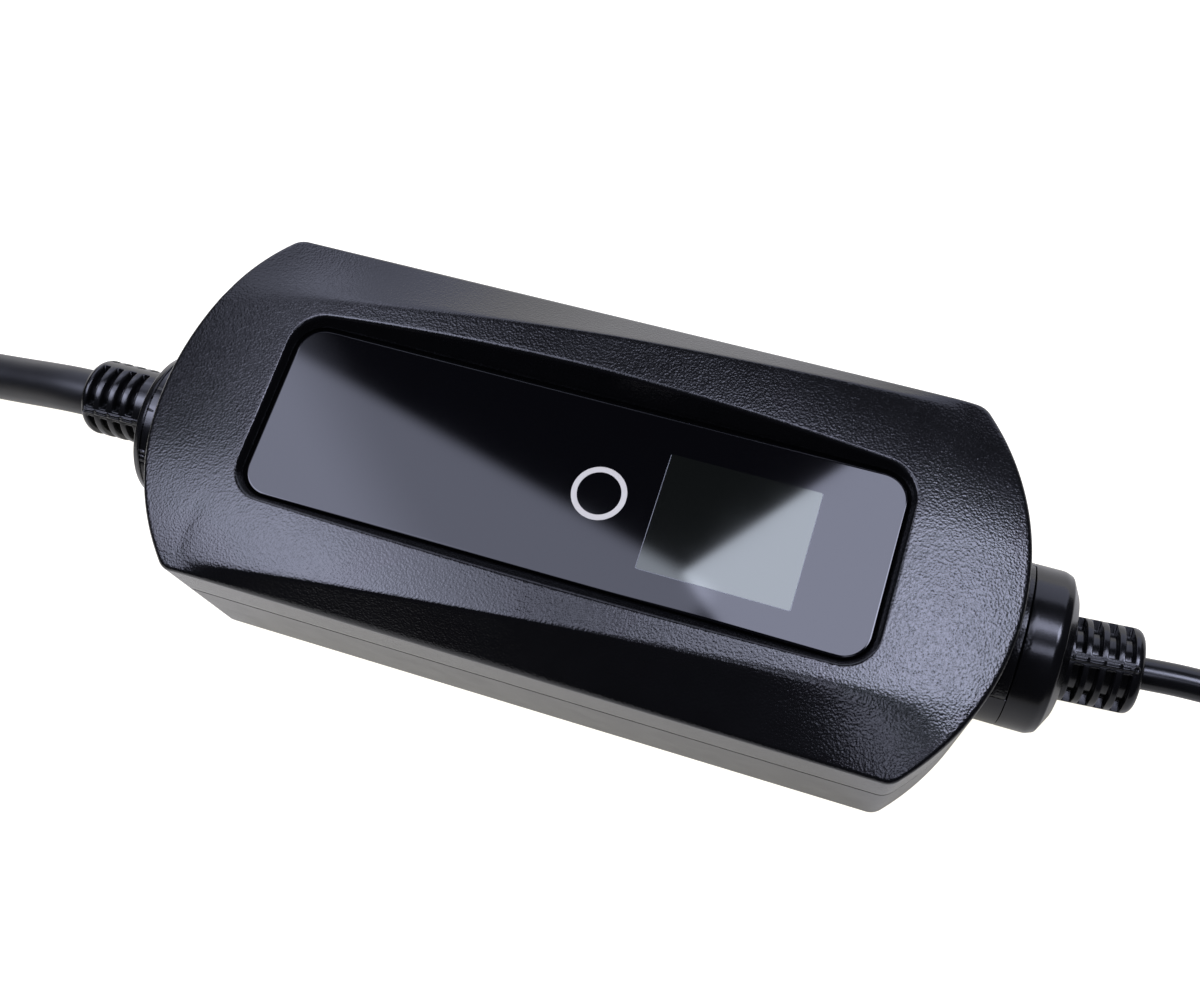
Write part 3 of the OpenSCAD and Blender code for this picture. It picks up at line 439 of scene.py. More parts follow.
def top_height(x, y):
    """Height of the cover's top: a crown that rolls over to a soft crease and a twisted facet on each side.

    The near side is the far side turned half a turn.
    """
    along = x if y > 0 else -x
    across = abs(y)
    crease_y = CREASE_Y + CREASE_TURN * along
    crease_z = crown(x) - CREASE_FALL * max(along, 0)
    edge_z = min(FACET_EDGE_Z, crease_z - 0.4)
    roll = max(across - ROLL_Y, 0) / (crease_y - ROLL_Y)
    band = crown(x) + (crease_z - crown(x)) * roll * roll
    facet = crease_z + (across - crease_y) * (edge_z - crease_z) / (HALF_WIDTH - crease_y)
    if across < FACET_Y:
        return band
    soft = 0.5
    near = max(soft - abs(band - facet), 0) / soft
    return min(band, facet) - near * near * soft / 4


def on_top(start, end, t):
    """Point of the cover's top above the line between two points."""
    x, y, _ = mix(start, end, t)
    return (x, y, top_height(x, y))


def crease_share(inner, outer):
    """Share of the way from the recess to the edge at which the crease is crossed."""
    least, most = 0.2, 0.9
    side = 1 if outer[1] > 0 else -1
    xi, yi, xo, yo = side * inner[0], side * inner[1], side * outer[0], side * outer[1]
    nearing = (yo - yi) - CREASE_TURN * (xo - xi)
    if nearing < 0.5:
        return most
    return min(max((CREASE_Y + CREASE_TURN * xi - yi) / nearing, least), most)


def cover_rings(sizes):
    """Rings of the cover, from the opening of its deck over the top and back up the inside."""
    half_l, half_w = sizes.case_length / MM / 2, sizes.case_width / MM / 2
    outer = whole_plan(quarter_plan(half_l, half_w, CORNER_R, END_R))
    recess_l = sizes.glass_length / MM / 2 + GLASS_GAP
    recess_w = sizes.glass_width / MM / 2 + GLASS_GAP
    recess = whole_plan(quarter_plan(recess_l, recess_w, GLASS_CORNER + GLASS_GAP))
    opening = whole_plan(quarter_plan(*DECK_OPENING))
    rim_r, edge_r = sizes.rim_round / MM, sizes.edge_round / MM
    columns = []
    for (hx, hy, _, _), (ix, iy, inx, iny), (ox, oy, onx, ony) in zip(opening, recess, outer):
        # The recess's wall leans out by its draft, so where it meets the top is found step by step
        rise = 4
        for _ in range(30):
            rise = top_height(ix + inx * RECESS_DRAFT * rise, iy + iny * RECESS_DRAFT * rise) - GLASS_Z
        rim = (ix + inx * RECESS_DRAFT * rise, iy + iny * RECESS_DRAFT * rise, GLASS_Z + rise)
        foot = (ix, iy, GLASS_Z)
        below = mix(rim, foot, rim_r / math.hypot(rise, RECESS_DRAFT * rise))
        edge = (ox, oy, top_height(ox, oy))
        span = math.hypot(ox - rim[0], oy - rim[1])
        inside = rim_r / span
        outside = 1 - edge_r / span
        crease = min(max(crease_share(rim, edge), inside + 0.1), outside - 0.05)
        column = [(hx, hy, DECK_LOW_Z), (hx, hy, DECK_Z), (ix, iy, DECK_Z), foot]
        column += [mix(foot, below, t) for t in (0.3, 0.6, 0.9)]
        column += bend(below, rim, on_top(rim, edge, inside), 6)
        # Rows on the top stand closest at the crease
        marks = [inside + (crease - inside) * math.sin(math.pi / 2 * i / 9) for i in range(1, 10)]
        marks += [crease + (outside - crease) * (1 - math.cos(math.pi / 2 * i / 8)) for i in range(1, 8)]
        column += [on_top(rim, edge, t) for t in marks]
        side_top = (ox, oy, edge[2] - edge_r)
        column += bend(on_top(rim, edge, outside), edge, side_top, 6)
        column += [mix(side_top, (ox, oy, PARTING_Z + 0.8), t) for t in (0.1, 0.5, 0.9, 1)]
        for inset, z in ((0.2, PARTING_Z + 0.6), (GROOVE_INSET, PARTING_Z + 0.6), (GROOVE_INSET, PARTING_Z),
                         (WALL, PARTING_Z), (WALL, DECK_LOW_Z)):
            column.append((ox - inset * onx, oy - inset * ony, z))
        columns.append(column)
    return [list(ring) for ring in zip(*columns)]


def boss_half(side):
    """Upper half of the round boss at an end of the case, down to the parting plane."""
    mid_y = CAR_ENTRY_Y if side < 0 else 0
    low = math.asin((PARTING_Z - ENTRY_Z) / BOSS_R)
    angles = [low + (math.pi - 2 * low) * i / 40 for i in range(41)]
    rings = []
    for x, r in ((98, BOSS_R), (BOSS_FACE - 0.3, BOSS_R), (BOSS_FACE, BOSS_R - 0.3)):
        rings.append([(side * x, mid_y + r * math.cos(a), max(PARTING_Z, ENTRY_Z + r * math.sin(a)))
                      for a in angles])
    return loft(rings)


def relief_shape(side, cord_r, flange, length, pitch, boot_y, turn, droop, lean):
    """A strain relief: lip and neck in the wall, flange with a bevelled front, and slotted boot.

    The boot has four rows of slots between four bridges, two mould ridges with a seam, and a gate mark.
    flange is the flange's thickness, length the boot's and pitch that of its slots; boot_y is the boot's
    place across the flange, turn the angle of its ridges, and droop and lean how it slopes, in degrees.
    """
    tilt = Matrix.Rotation(math.radians(lean), 3, "Z") @ Matrix.Rotation(math.radians(droop), 3, "Y")
    mid_y = CAR_ENTRY_Y if side < 0 else 0
    neck = BOSS_FACE - ENTRY_WALL_X
    rows = [(-neck - 3, 3), (-neck - 3, LIP_R), (-neck, LIP_R), (-neck, NECK_R), (0, NECK_R)]
    rows += [(0, BOSS_R - 0.4), (0.4, BOSS_R), (2, BOSS_R), (flange / 2, BOSS_R)]
    rows += bend((flange - 4.7, BOSS_R), (flange - 4, BOSS_R), (flange - 3.4, 19.25), 4)
    rows += bend((flange - 2.5, 18.88), (flange - 2.2, 18.75), (flange - 2.05, 18.45), 4)
    rows += bend((flange - 0.3, 15.1), (flange, 14.5), (flange, 13.8), 5)
    rows += [(flange, 13.2)]
    slots = [length - 4.6 - pitch * row for row in (3, 2, 1, 0)]
    marks = [-1.2, -0.4, 0.2, 0.6]
    # Rows stand closer at the slots' edges, and angles at the ridges and their seams
    for low in slots:
        marks += [low + off for off in (-0.45, -0.3, -0.12, 0, 0.12, 0.3, 0.7)]
        marks += [low + off for off in (1.3, 1.7, 1.88, 2, 2.12, 2.3)]
    marks += [length - 2.2 + 0.2 * i for i in range(11)]
    angles = [2 * math.pi * i / 220 for i in range(220)]
    for off in (0.04, 0.09, 0.15, 0.45, 0.6, 0.75, 0.9):
        angles += [(ridge + 0.1 * off * way) % (2 * math.pi) for ridge in (0, math.pi) for way in (-1, 1)]
    angles.sort()

    def spot(x, r, a, tilted):
        """Place in the frame of a point of the relief; the boot's points are tilted."""
        across = a + math.radians(turn)
        local = Vector((x, -r * math.sin(across), r * math.cos(across)))
        if tilted:
            local = tilt @ local + Vector((flange, boot_y, 0))
        return (side * (BOSS_FACE + local.x), mid_y + side * local.y, ENTRY_Z + local.z)

    def boot_radius(x, a):
        """Radius of the boot at a place along it and an angle round it."""
        off_ridge = math.atan2(math.sin(2 * a), math.cos(2 * a)) / 2 * BOOT_R
        off_bridge = math.atan2(math.sin(4 * a), math.cos(4 * a)) / 4 * BOOT_R
        into_tip = max(x - length + TIP_R, 0)
        radius = BOOT_R - TIP_R + math.sqrt(TIP_R ** 2 - into_tip * into_tip)
        slot = sum(pulse(x, low, low + SLOT_W, 0.3) for low in slots)
        radius -= SLOT_DEEP * slot * (1 - pulse(off_bridge, -BRIDGE_HALF, BRIDGE_HALF, 0.4))
        seam = 0.6 * pulse(off_ridge, -0.06, 0.06, 0.08)
        nick = 0.8 * sum(pulse(x, low - 0.4, low - 0.2, 0.2) for low in slots)
        ridge = 0.4 * pulse(off_ridge, -RIDGE_HALF, RIDGE_HALF, 0.3) * max(1 - seam - nick, 0)
        radius += ridge * ease((length - 1.8 - x) / 0.6)
        if math.cos(a) > 0:
            gate = math.hypot(x - length + 2.1, off_ridge)
            radius += 0.35 * pulse(gate, 0.35, 0.85, 0.3) - 0.2 * (1 - ease(gate / 0.5))
        return radius

    rings = [[spot(x, r, a, False) for a in angles] for x, r in rows]
    rings += [[spot(x, boot_radius(x, a), a, True) for a in angles] for x in marks]
    for x, r in ((0, cord_r + 0.6), (-0.3, cord_r + 0.1), (-0.6, cord_r - 0.4)):
        rings.append([spot(length + x, r, a, True) for a in angles])
    return loft(rings)


def fold_length(slots):
    """Length of a half turn at an end of a hank, at the mean radius of its slots."""
    return math.pi * (sum(radius for radius, _ in slots) / len(slots))


def hank_path(turns, middle, run, heading, slots, moves):
    """Points and headings along a hank: flat turns whose strand goes from slot to slot in its moves.

    slots are the (radius, height) that the strand takes one after the other, and moves the (start, length,
    climb) of each change between them; a move with climb rises first and goes sideways after.
    """
    fold = fold_length(slots)
    lap = 2 * run + 2 * fold

    def slot_at(p):
        """Radius and height of the strand after this length of it."""
        radius, z = slots[0]
        for (start, span, climb), (r, layer) in zip(moves, slots[1:]):
            t = (p - start) / span
            flat, up = (ease(2 * t - 0.9), ease(1.6 * t)) if climb else (ease(t), ease(t))
            radius += (r - radius) * flat
            z += (layer - z) * up
        return radius, z

    def spot(p):
        """Point of the strand after this length of it."""
        radius, z = slot_at(p)
        q = p % lap
        if q < run:
            x, y = q, -radius
        elif q < run + fold:
            a = (q - run) / fold * math.pi
            x, y = run + radius * math.sin(a), -radius * math.cos(a)
        elif q < 2 * run + fold:
            x, y = 2 * run + fold - q, radius
        else:
            a = (q - 2 * run - fold) / fold * math.pi
            x, y = -radius * math.sin(a), radius * math.cos(a)
        return Vector((middle[0] + heading * (x - run / 2), middle[1] + y, z))

    marks = []
    for turn in range(turns + 1):
        steps = [run * i / 4 for i in range(4)]
        if turn < turns:
            steps += [run + fold * i / 8 for i in range(8)]
            steps += [run + fold + run * i / 4 for i in range(4)]
            steps += [2 * run + fold + fold * i / 8 for i in range(8)]
        marks += [turn * lap + s for s in steps]
    marks.append(turns * lap + run)
    return [(spot(p), (spot(p + 0.05) - spot(max(p - 0.05, 0))).normalized()) for p in marks]


def route_path(points):
    """Points of a loose route with the headings of the circles through each three of them."""
    spots = [Vector(p) for p in points]
    path = []
    for i, here in enumerate(spots):
        if i == 0:
            way = spots[1] - here
        elif i == len(spots) - 1:
            way = here - spots[i - 1]
        else:
            back, ahead = here - spots[i - 1], spots[i + 1] - here
            way = back.normalized() * ahead.length + ahead.normalized() * back.length
        path.append((here, way.normalized()))
    return path


def cord_curve(name, path, diameter, material, slot, *nodes):
    """One smooth open curve along a path, as thick as the cord."""
    data = bpy.data.curves.new(name, "CURVE")
    data.dimensions = "3D"
    data.bevel_depth = diameter / 2
    data.bevel_resolution = 7
    data.resolution_u = 7
    data.use_fill_caps = True
    line = data.splines.new("BEZIER")
    line.bezier_points.add(len(path) - 1)
    for i, (here, way) in enumerate(path):
        knot = line.bezier_points[i]
        before = (here - path[i - 1][0]).length / 3 if i else 2
        after = (path[i + 1][0] - here).length / 3 if i < len(path) - 1 else 2
        knot.handle_left_type = "FREE"
        knot.handle_right_type = "FREE"
        knot.co = here * MM
        knot.handle_left = (here - way * before) * MM
        knot.handle_right = (here + way * after) * MM
    data.materials.append(material)
    piece = bpy.data.objects.new(name, data)
    bpy.context.scene.collection.objects.link(piece)
    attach(piece, "root")
    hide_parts(*nodes)
    return piece


def lathe(rows, place, count=144, form=None):
    """Turns a profile of (x, radius) rows about a line along X and closes both ends.

    form, where given, changes the radius by the row's x and the angle.
    """
    rings = []
    for x, r in rows:
        ring = []
        for i in range(count):
            a = 2 * math.pi * i / count
            radius = form(x, r, a) if form else r
            ring.append(place(x, radius * math.cos(a), radius * math.sin(a)))
        rings.append(ring)
    return loft(rings)


def fade_rim(light, share):
    """Lets a softbox fade out over this share of its width, as its cloth does towards the rim."""
    light.use_nodes = True
    tree = light.node_tree
    face = add_node(tree, "ShaderNodeNewGeometry")
    sides = add_node(tree, "ShaderNodeSeparateXYZ", links={0: face.outputs["Parametric"]})
    fades = []
    for side in ("X", "Y"):
        off = add_node(tree, "ShaderNodeMath", {1: 0.5}, {0: sides.outputs[side]}, operation="SUBTRACT")
        off = add_node(tree, "ShaderNodeMath", links={0: off.outputs["Value"]}, operation="ABSOLUTE")
        fades.append(add_node(
            tree, "ShaderNodeMapRange",
            {"From Min": 0.5 - share, "From Max": 0.5, "To Min": 1.0, "To Max": 0.0},
            {"Value": off.outputs["Value"]}, interpolation_type="SMOOTHSTEP"))
    both = add_node(
        tree, "ShaderNodeMath",
        links={0: fades[0].outputs["Result"], 1: fades[1].outputs["Result"]}, operation="MULTIPLY")
    tree.links.new(both.outputs["Value"], tree.nodes["Emission"].inputs["Strength"])


class CHARGER_OT_stage(bpy.types.Operator):
    """Makes the camera, the white table and the softboxes and panels of a studio."""

    bl_idname = "charger.stage"
    bl_label = "Stage"

    def execute(self, context):
        """Places everything that is not part of the charger."""
        camera_data = bpy.data.cameras.new("Camera")
        camera_data.lens = CAMERA_LENS
        camera_data.sensor_width = 36
        camera = bpy.data.objects.new("Camera", camera_data)
        axes = (Vector(CAMERA_RIGHT), -Vector(CAMERA_DOWN), -Vector(CAMERA_AHEAD))
        facing = Matrix(axes).transposed().to_4x4()
        camera.matrix_world = Matrix.Translation(Vector(CAMERA_SPOT) * MM) @ facing
        context.scene.collection.objects.link(camera)
        context.scene.camera = camera

        shape = bmesh.new()
        bmesh.ops.create_grid(shape, x_segments=2, y_segments=2, size=6)
        mesh = bpy.data.meshes.new("table")
        shape.to_mesh(mesh)
        shape.free()
        table = bpy.data.objects.new("table", mesh)
        context.scene.collection.objects.link(table)
        # Matt laminate: white to look at; greyer in what the gloss mirrors, and most so at the near right,
        # as the charger shades the real table there and the backdrop lights it at the far left
        material, tree, shader, place = start_material(
            "matt_white_laminate", Roughness=0.7, Base_Color=shade(linear("#9a9a9a")),
            Emission_Color=shade(linear("#fffbf0")))
        far_left = add_node(
            tree, "ShaderNodeVectorMath", {1: (-0.7071, 0.7071, 0)}, {0: place}, operation="DOT_PRODUCT")
        shaded = add_node(
            tree, "ShaderNodeMapRange",
            {"From Min": -0.2, "From Max": 0.2, "To Min": 0.26, "To Max": 0.81},
            {"Value": far_left.outputs["Value"]})
        seen = add_node(tree, "ShaderNodeLightPath")
        glow = add_node(
            tree, "ShaderNodeMapRange", {"To Max": 1.15},
            {"Value": seen.outputs["Is Camera Ray"], "To Min": shaded.outputs["Result"]})
        tree.links.new(glow.outputs["Result"], shader.inputs["Emission Strength"])
        mesh.materials.append(material)

        for name, spot, aim, size, turn, power, fade in LIGHTS:
            light = bpy.data.lights.new(name, "AREA")
            light.shape = "RECTANGLE"
            light.size, light.size_y = size
            light.energy = power
            light.color = linear("#dde2ff")
            fade_rim(light, fade)
            lamp = bpy.data.objects.new(name, light)
            lamp.location = spot
            lamp.rotation_euler = (0, 0, math.radians(turn))
            if aim:
                lamp.rotation_euler = (Vector(spot) - Vector(aim)).to_track_quat("Z", "Y").to_euler()
            context.scene.collection.objects.link(lamp)
        # The surround is white to look at and dark in what the gloss mirrors, as in a tent with black flags
        world = bpy.data.worlds.new("studio")
        world.use_nodes = True
        tree = world.node_tree
        seen = add_node(tree, "ShaderNodeLightPath")
        tone = add_node(
            tree, "ShaderNodeMix", {6: shade(linear("#2c2c30")), 7: shade(linear("#ffffff"))},
            {0: seen.outputs["Is Camera Ray"]}, data_type="RGBA")
        tree.links.new(tone.outputs[2], tree.nodes["Background"].inputs["Color"])
        context.scene.world = world
        context.scene.view_settings.view_transform = "Standard"
        return {"FINISHED"}


class CHARGER_OT_cords(bpy.types.Operator):
    """Lays the car cable and the supply cord, each along its route and through its hank."""

    bl_idname = "charger.cords"
    bl_label = "Cords"

    def execute(self, context):
        """Makes one curve for each cord."""
        sizes, colours = context.scene.charger_sizes, context.scene.charger_colours
        # Extruded rubber: satin, with a broad sheen along the cable
        rubber = moulded("extruded_rubber_sheath", colours.sheath, 0.42, 0.35, 0.006, spread=0.04)
        # Extruded vinyl: smoother, with a narrow gleam
        vinyl = moulded("extruded_vinyl_sheath", colours.sheath, 0.25, 0.35, 0.004, spread=0.04)
        inner, outer = CAR_TURNS
        heights = [STRAP_T + (outer - inner) * (layer + 0.5) for layer in range(4)]
        slots = []
        for low, high in (heights[:2], heights[2:]):
            slots += [(outer, low), (inner, low), (inner, high), (outer, high)]
        lap = 2 * CAR_RUN + 2 * fold_length(slots)
        moves = [(turn * lap + CAR_RUN + (6 - turn) * 38, 140, False) for turn in range(7)]
        hank = hank_path(7, CAR_HANK, CAR_RUN, -1, slots, moves)
        start = CAR_ROUTE[0]
        root = (start[0] + 4, start[1], start[2] + 0.28)
        path = route_path([root] + CAR_ROUTE) + hank + route_path(CAR_TAIL)
        cord_curve("car_cable", path, sizes.car_cable, rubber, "cable_sheath",
                   "vehicle_cable", "vehicle_hank", "vehicle_tail")
        inner, outer = SUPPLY_TURNS
        low, high = [STRAP_T + (outer - inner) * (layer + 0.5) for layer in range(2)]
        slots = [(outer, low), (inner, low), (outer, high)]
        lap = 2 * SUPPLY_RUN + 2 * fold_length(slots)
        moves = [(175, 40, False), (lap + 110, 90, True)]
        hank = hank_path(2, SUPPLY_HANK, SUPPLY_RUN, 1, slots, moves)
        start = SUPPLY_ROUTE[0]
        root = (start[0] - 4, start[1] - 0.28, start[2])
        path = route_path([root] + SUPPLY_ROUTE) + hank + route_path(SUPPLY_TAIL)
        cord_curve("supply_lead", path, sizes.supply_cord, vinyl, "cord_sheath",
                   "supply_cord", "supply_hank", "supply_tail")
        return {"FINISHED"}


class CHARGER_OT_cover(bpy.types.Operator):
    """Makes the cover with its crown, twisted facets, recess and soft edges."""

    bl_idname = "charger.cover"
    bl_label = "Cover"

    def execute(self, context):
        """Lofts the cover from its opening round to the inside."""
        sizes, colours = context.scene.charger_sizes, context.scene.charger_colours
        # ABS moulded in an eroded tool: half gloss, with a leather-like grain of half a millimetre
        plastic = moulded(
            "moulded_abs_leather_grain", colours.cover, 0.2, sizes.grain / MM, 0.05, spread=0.02)
        shapes = [loft(cover_rings(sizes), joined=True), boss_half(1), boss_half(-1)]
        piece_from("cover", shapes, plastic, "cover_plastic", "upper_shell")
        return {"FINISHED"}


class CHARGER_OT_base(bpy.types.Operator):
    """Finishes the base of the case, which keeps its CAD shape."""

    bl_idname = "charger.base"
    bl_label = "Base"

    def execute(self, context):
        """Gives the base its moulded plastic."""
        colours = context.scene.charger_colours
        # ABS from a finer tool than the cover: a little duller, with hardly any grain
        plastic = moulded("moulded_abs_fine_matt", colours.base, 0.24, 0.3, 0.006, spread=0.03)
        dress(plastic, "lower_shell")
        return {"FINISHED"}


class CHARGER_OT_glass(bpy.types.Operator):
    """Makes the glass panel with its clear screen window and the printed ring of the touch key."""

    bl_idname = "charger.glass"
    bl_label = "Glass panel"

    def execute(self, context):
        """Lofts the panel with a ground edge and lays the ring on it."""
        sizes, colours = context.scene.charger_sizes, context.scene.charger_colours
        # Float glass printed black from behind: a deep black mirror
        glass = polished("float_glass_black_print", IOR=1.52, Base_Color=shade(colours.glass))
        # Clear window over the screen: glass and polarising film both mirror, so it looks brighter
        window = polished("clear_glass_over_screen", IOR=1.82, Base_Color=shade(linear("#0b0d0b")),
                          Specular_Tint=shade(linear("#fafff1")))
        # Cut edge of the screen's films, painted light grey as a highlight on all sides but the far one
        edge = moulded("film_edge_painted_highlight", linear("#4a4c50"), 0.3, 0.2, 0.002, tone=0.15, ior=1.9)
        # Screen-printed ceramic ink: flat white, a hair proud of the glass
        ink = moulded("printed_white_ink", colours.ring, 0.35, 0.2, 0.002, tone=0.04)
        half_l, half_w = sizes.glass_length / MM / 2, sizes.glass_width / MM / 2
        rings = []
        for inset, depth in ((0.3, 2), (0, 1.7), (0, 0.25), (0.08, 0.08), (0.25, 0), (0.6, 0)):
            plan = whole_plan(quarter_plan(half_l - inset, half_w - inset, GLASS_CORNER - inset))
            rings.append([(x, y, GLASS_Z - depth) for x, y, _, _ in plan])
        for border in (0.16, 0):
            plan = whole_plan(quarter_plan(WINDOW_HALF[0] + border, WINDOW_HALF[1] + border, 0.5))
            rings.append([(WINDOW_SPOT[0] + x, WINDOW_SPOT[1] + y, GLASS_Z) for x, y, _, _ in plan])
        shape = loft(rings)
        shape.faces.ensure_lookup_table()
        # The last ring's cap is the window, and the last row of faces its border
        shape.faces[1].material_index = 1
        # The border's faces take the painted highlight on all sides but the far one
        far_side = (WINDOW_SPOT[1] + WINDOW_HALF[1] - 0.2) * MM
        for face in shape.faces[-len(rings[0]):]:
            if face.calc_center_median().y < far_side:
                face.material_index = 2
        panel = piece_from("glass_pane", [shape], glass, "panel_glass", "glass_panel")
        panel.data.materials.append(window)
        panel.data.materials.append(edge)
        rings = []
        turns = [2 * math.pi * i / 96 for i in range(96)]
        for r, rise in ((6.5, -0.1), (6.5, 0.015), (6.45, 0.03), (5.2, 0.03), (5.15, 0.015), (5.15, -0.1)):
            rings.append([(KEY_SPOT[0] + r * math.cos(a), KEY_SPOT[1] + r * math.sin(a), GLASS_Z + rise)
                          for a in turns])
        piece_from("key_ring", [loft(rings, joined=True)], ink, "ring_print", "touch_ring")
        return {"FINISHED"}


class CHARGER_OT_reliefs(bpy.types.Operator):
    """Makes both strain reliefs with their flanges, slots, bridges and mould ridges."""

    bl_idname = "charger.reliefs"
    bl_label = "Strain reliefs"

    def execute(self, context):
        """Skins each relief round the axis of its boot."""
        sizes, colours = context.scene.charger_sizes, context.scene.charger_colours
        # Soft plastic moulded over the cord: satin black, smoother than the cover
        rubber = moulded("moulded_soft_plastic", colours.relief, 0.2, 0.4, 0.005, spread=0.04)
        shape = relief_shape(1, sizes.supply_cord / MM / 2, flange=11.2, length=16.8, pitch=3.6,
                             boot_y=0, turn=13, droop=0, lean=4)
        piece_from("supply_boot", [shape], rubber, "relief_rubber", "supply_relief")
        shape = relief_shape(-1, sizes.car_cable / MM / 2, flange=8.5, length=21.8, pitch=4,
                             boot_y=CAR_ENTRY_Y, turn=-45, droop=4, lean=0)
        piece_from("car_boot", [shape], rubber, "relief_rubber", "vehicle_relief")
        return {"FINISHED"}


def band(rows, x, width):
    """Rings of a flat tape of soft-edged section along rows of (y, z, outward y, outward z, half)."""
    rings = []
    for y, z, ny, nz, half in rows:
        ring = []
        for across, out in ((-1, -0.4), (-0.97, -1), (-0.5, -1), (0.5, -1), (0.97, -1), (1, -0.4),
                            (1, 0.4), (0.97, 1), (0.5, 1), (-0.5, 1), (-0.97, 1), (-1, 0.4)):
            ring.append((x + across * width / 2, y + out * half * ny, z + out * half * nz))
        rings.append(ring)
    return rings


def strap_shapes(x, mid_y, turns, layers):
    """A strap round a hank of so many layers, closed, with its free end laid over the top."""
    inner, outer = turns
    cord = outer - inner
    radius, height = outer + cord / 2, layers * cord
    half_t, round_r, rows = STRAP_T / 2, 2.4, []
    middle = height / 2 + STRAP_T
    half_w, half_h = radius + half_t - round_r, height / 2 + half_t - round_r
    for corner in range(4):
        a0 = math.pi / 2 * corner
        cy = half_w * (1 if corner in (0, 3) else -1)
        cz = half_h * (1 if corner in (0, 1) else -1)
        for i in range(9):
            a = a0 + math.pi / 2 * i / 8
            rows.append((mid_y + cy + round_r * math.cos(a), middle + cz + round_r * math.sin(a),
                         math.cos(a), math.sin(a), half_t))
        a = a0 + math.pi / 2
        ny, nz = math.cos(a), math.sin(a)
        span = 2 * (half_w if corner in (0, 2) else half_h)
        y, z = rows[-1][0], rows[-1][1]
        for i in range(1, 8):
            rows.append((y - nz * span * i / 8, z + ny * span * i / 8, ny, nz, half_t))
    loop = loft(band(rows, x, STRAP_W), joined=True)
    top = height + 2 * STRAP_T
    low, high = mid_y - radius + 3, mid_y - radius * 0.3
    rows = []
    for i in range(17):
        t = i / 16
        half = 0.62 * min(1, 0.25 + 6 * t, 0.25 + 6 * (1 - t))
        rows.append((low + (high - low) * t, top + half - 0.02, 0, 1, half))
    return [loop, loft(band(rows, x, STRAP_W - 1))]


class CHARGER_OT_straps(bpy.types.Operator):
    """Makes the straps that hold the two hanks."""

    bl_idname = "charger.straps"
    bl_label = "Straps"

    def execute(self, context):
        """Wraps each strap round its hank."""
        colours = context.scene.charger_colours
        # Hook-and-loop tape woven of nylon: dull, ribbed across, with a fuzzy face
        tape, tree, shader, place = start_material(
            "woven_nylon_tape", Roughness=0.85, Sheen_Weight=0.4, Sheen_Roughness=0.5)
        # Ribs 0.69 mm apart; a wave of scale 1 has its bands a tenth of pi apart
        weft = add_node(
            tree, "ShaderNodeTexWave", {"Scale": per_mm(0.69115) * math.pi / 10, "Distortion": 0.6},
            {"Vector": place}, bands_direction="X")
        fuzz = add_node(
            tree, "ShaderNodeTexNoise", {"Scale": per_mm(0.5), "Detail": 4.0}, {"Vector": place})
        tint = add_node(
            tree, "ShaderNodeMix", {6: shade(colours.strap, 0.6), 7: shade(colours.strap, 1.5)},
            {0: fuzz.outputs["Fac"]}, data_type="RGBA")
        tree.links.new(tint.outputs[2], shader.inputs["Base Color"])
        height = add_node(
            tree, "ShaderNodeMath", {1: 0.7}, {0: fuzz.outputs["Fac"], 2: weft.outputs["Fac"]},
            operation="MULTIPLY_ADD")
        bump = add_node(
            tree, "ShaderNodeBump", {"Strength": 0.8, "Distance": 0.15 * MM},
            {"Height": height.outputs["Value"]})
        tree.links.new(bump.outputs["Normal"], shader.inputs["Normal"])
        x, mid_y = SUPPLY_HANK
        single = strap_shapes(x, mid_y, SUPPLY_TURNS, 2)
        piece_from("supply_strap_band", single, tape, "strap_cloth", "supply_strap")
        x, mid_y = CAR_HANK
        pair = strap_shapes(x + 40, mid_y, CAR_TURNS, 4) + strap_shapes(x - 40, mid_y, CAR_TURNS, 4)
        piece_from("car_strap_bands", pair, tape, "strap_cloth", "vehicle_straps")
        return {"FINISHED"}


def grip_radius(t):
    """Radius of the connector's grip along its length."""
    return 16 + 3 * ease(t / 0.25) + 11 * ease((t - 0.45) / 0.4)


def on_connector(x, y, z):
    """Place in the frame of a point of the connector."""
    return tuple(a + b for a, b in zip((x, y, z), CONNECTOR_SPOT))


def grip_shape():
    """Grip of the connector: sections that swell on one level, with flank ribs, a seam and screw holes."""
    marks = [0, 0.3, 0.8] + [1.5 + 0.75 * i for i in range(173)] + [GRIP_L - 0.8, GRIP_L - 0.3, GRIP_L]
    degrees = [-58 + 0.6 * i for i in range(174)] + [46 + 2 * i for i in range(129)]
    # Rows stand closer at the screw holes, and angles on the side that has them and at the seams
    marks += [x - GRIP_START + 0.2 * i for x in SCREWS_X for i in range(-20, 21)]
    degrees += [side + 0.5 * i for side in (90, 270) for i in range(-4, 5)]
    angles = [math.radians(d) for d in sorted({round(d % 360, 1) for d in degrees})]
    screws = [(x, z) for x in SCREWS_X for z in SCREWS_Z]
    end_r = 1.5
    rings = []
    for along in sorted({round(mark, 2) for mark in marks}):
        base = grip_radius(along / GRIP_L)
        short = max(end_r - min(along, GRIP_L - along), 0)
        shrink = end_r - math.sqrt(max(0, end_r ** 2 - short ** 2))
        ribs = sum(pulse(along, low, low + RIB_W, 1.4) for low in RIBS_X)
        ring = []
        for a in angles:
            flank = ease((abs(math.cos(a)) - 0.55) / 0.2)
            seam = pulse(math.asin(math.cos(a)) * base, -0.3, 0.3, 0.35)
            r = base - shrink + 0.6 * ribs * flank - 0.45 * seam
            y, z = r * math.cos(a), base + r * math.sin(a)
            for screw_x, screw_z in screws:
                off = math.hypot(GRIP_START + along - screw_x, z - screw_z)
                if y > 0 and off < 4:
                    y += (min(y, SCREW_SEAT) - y) * (1 - ease((off - HOLE_R) / 0.4))
            ring.append(on_connector(GRIP_START + along, y, z))
        rings.append(ring)
    return loft(rings)


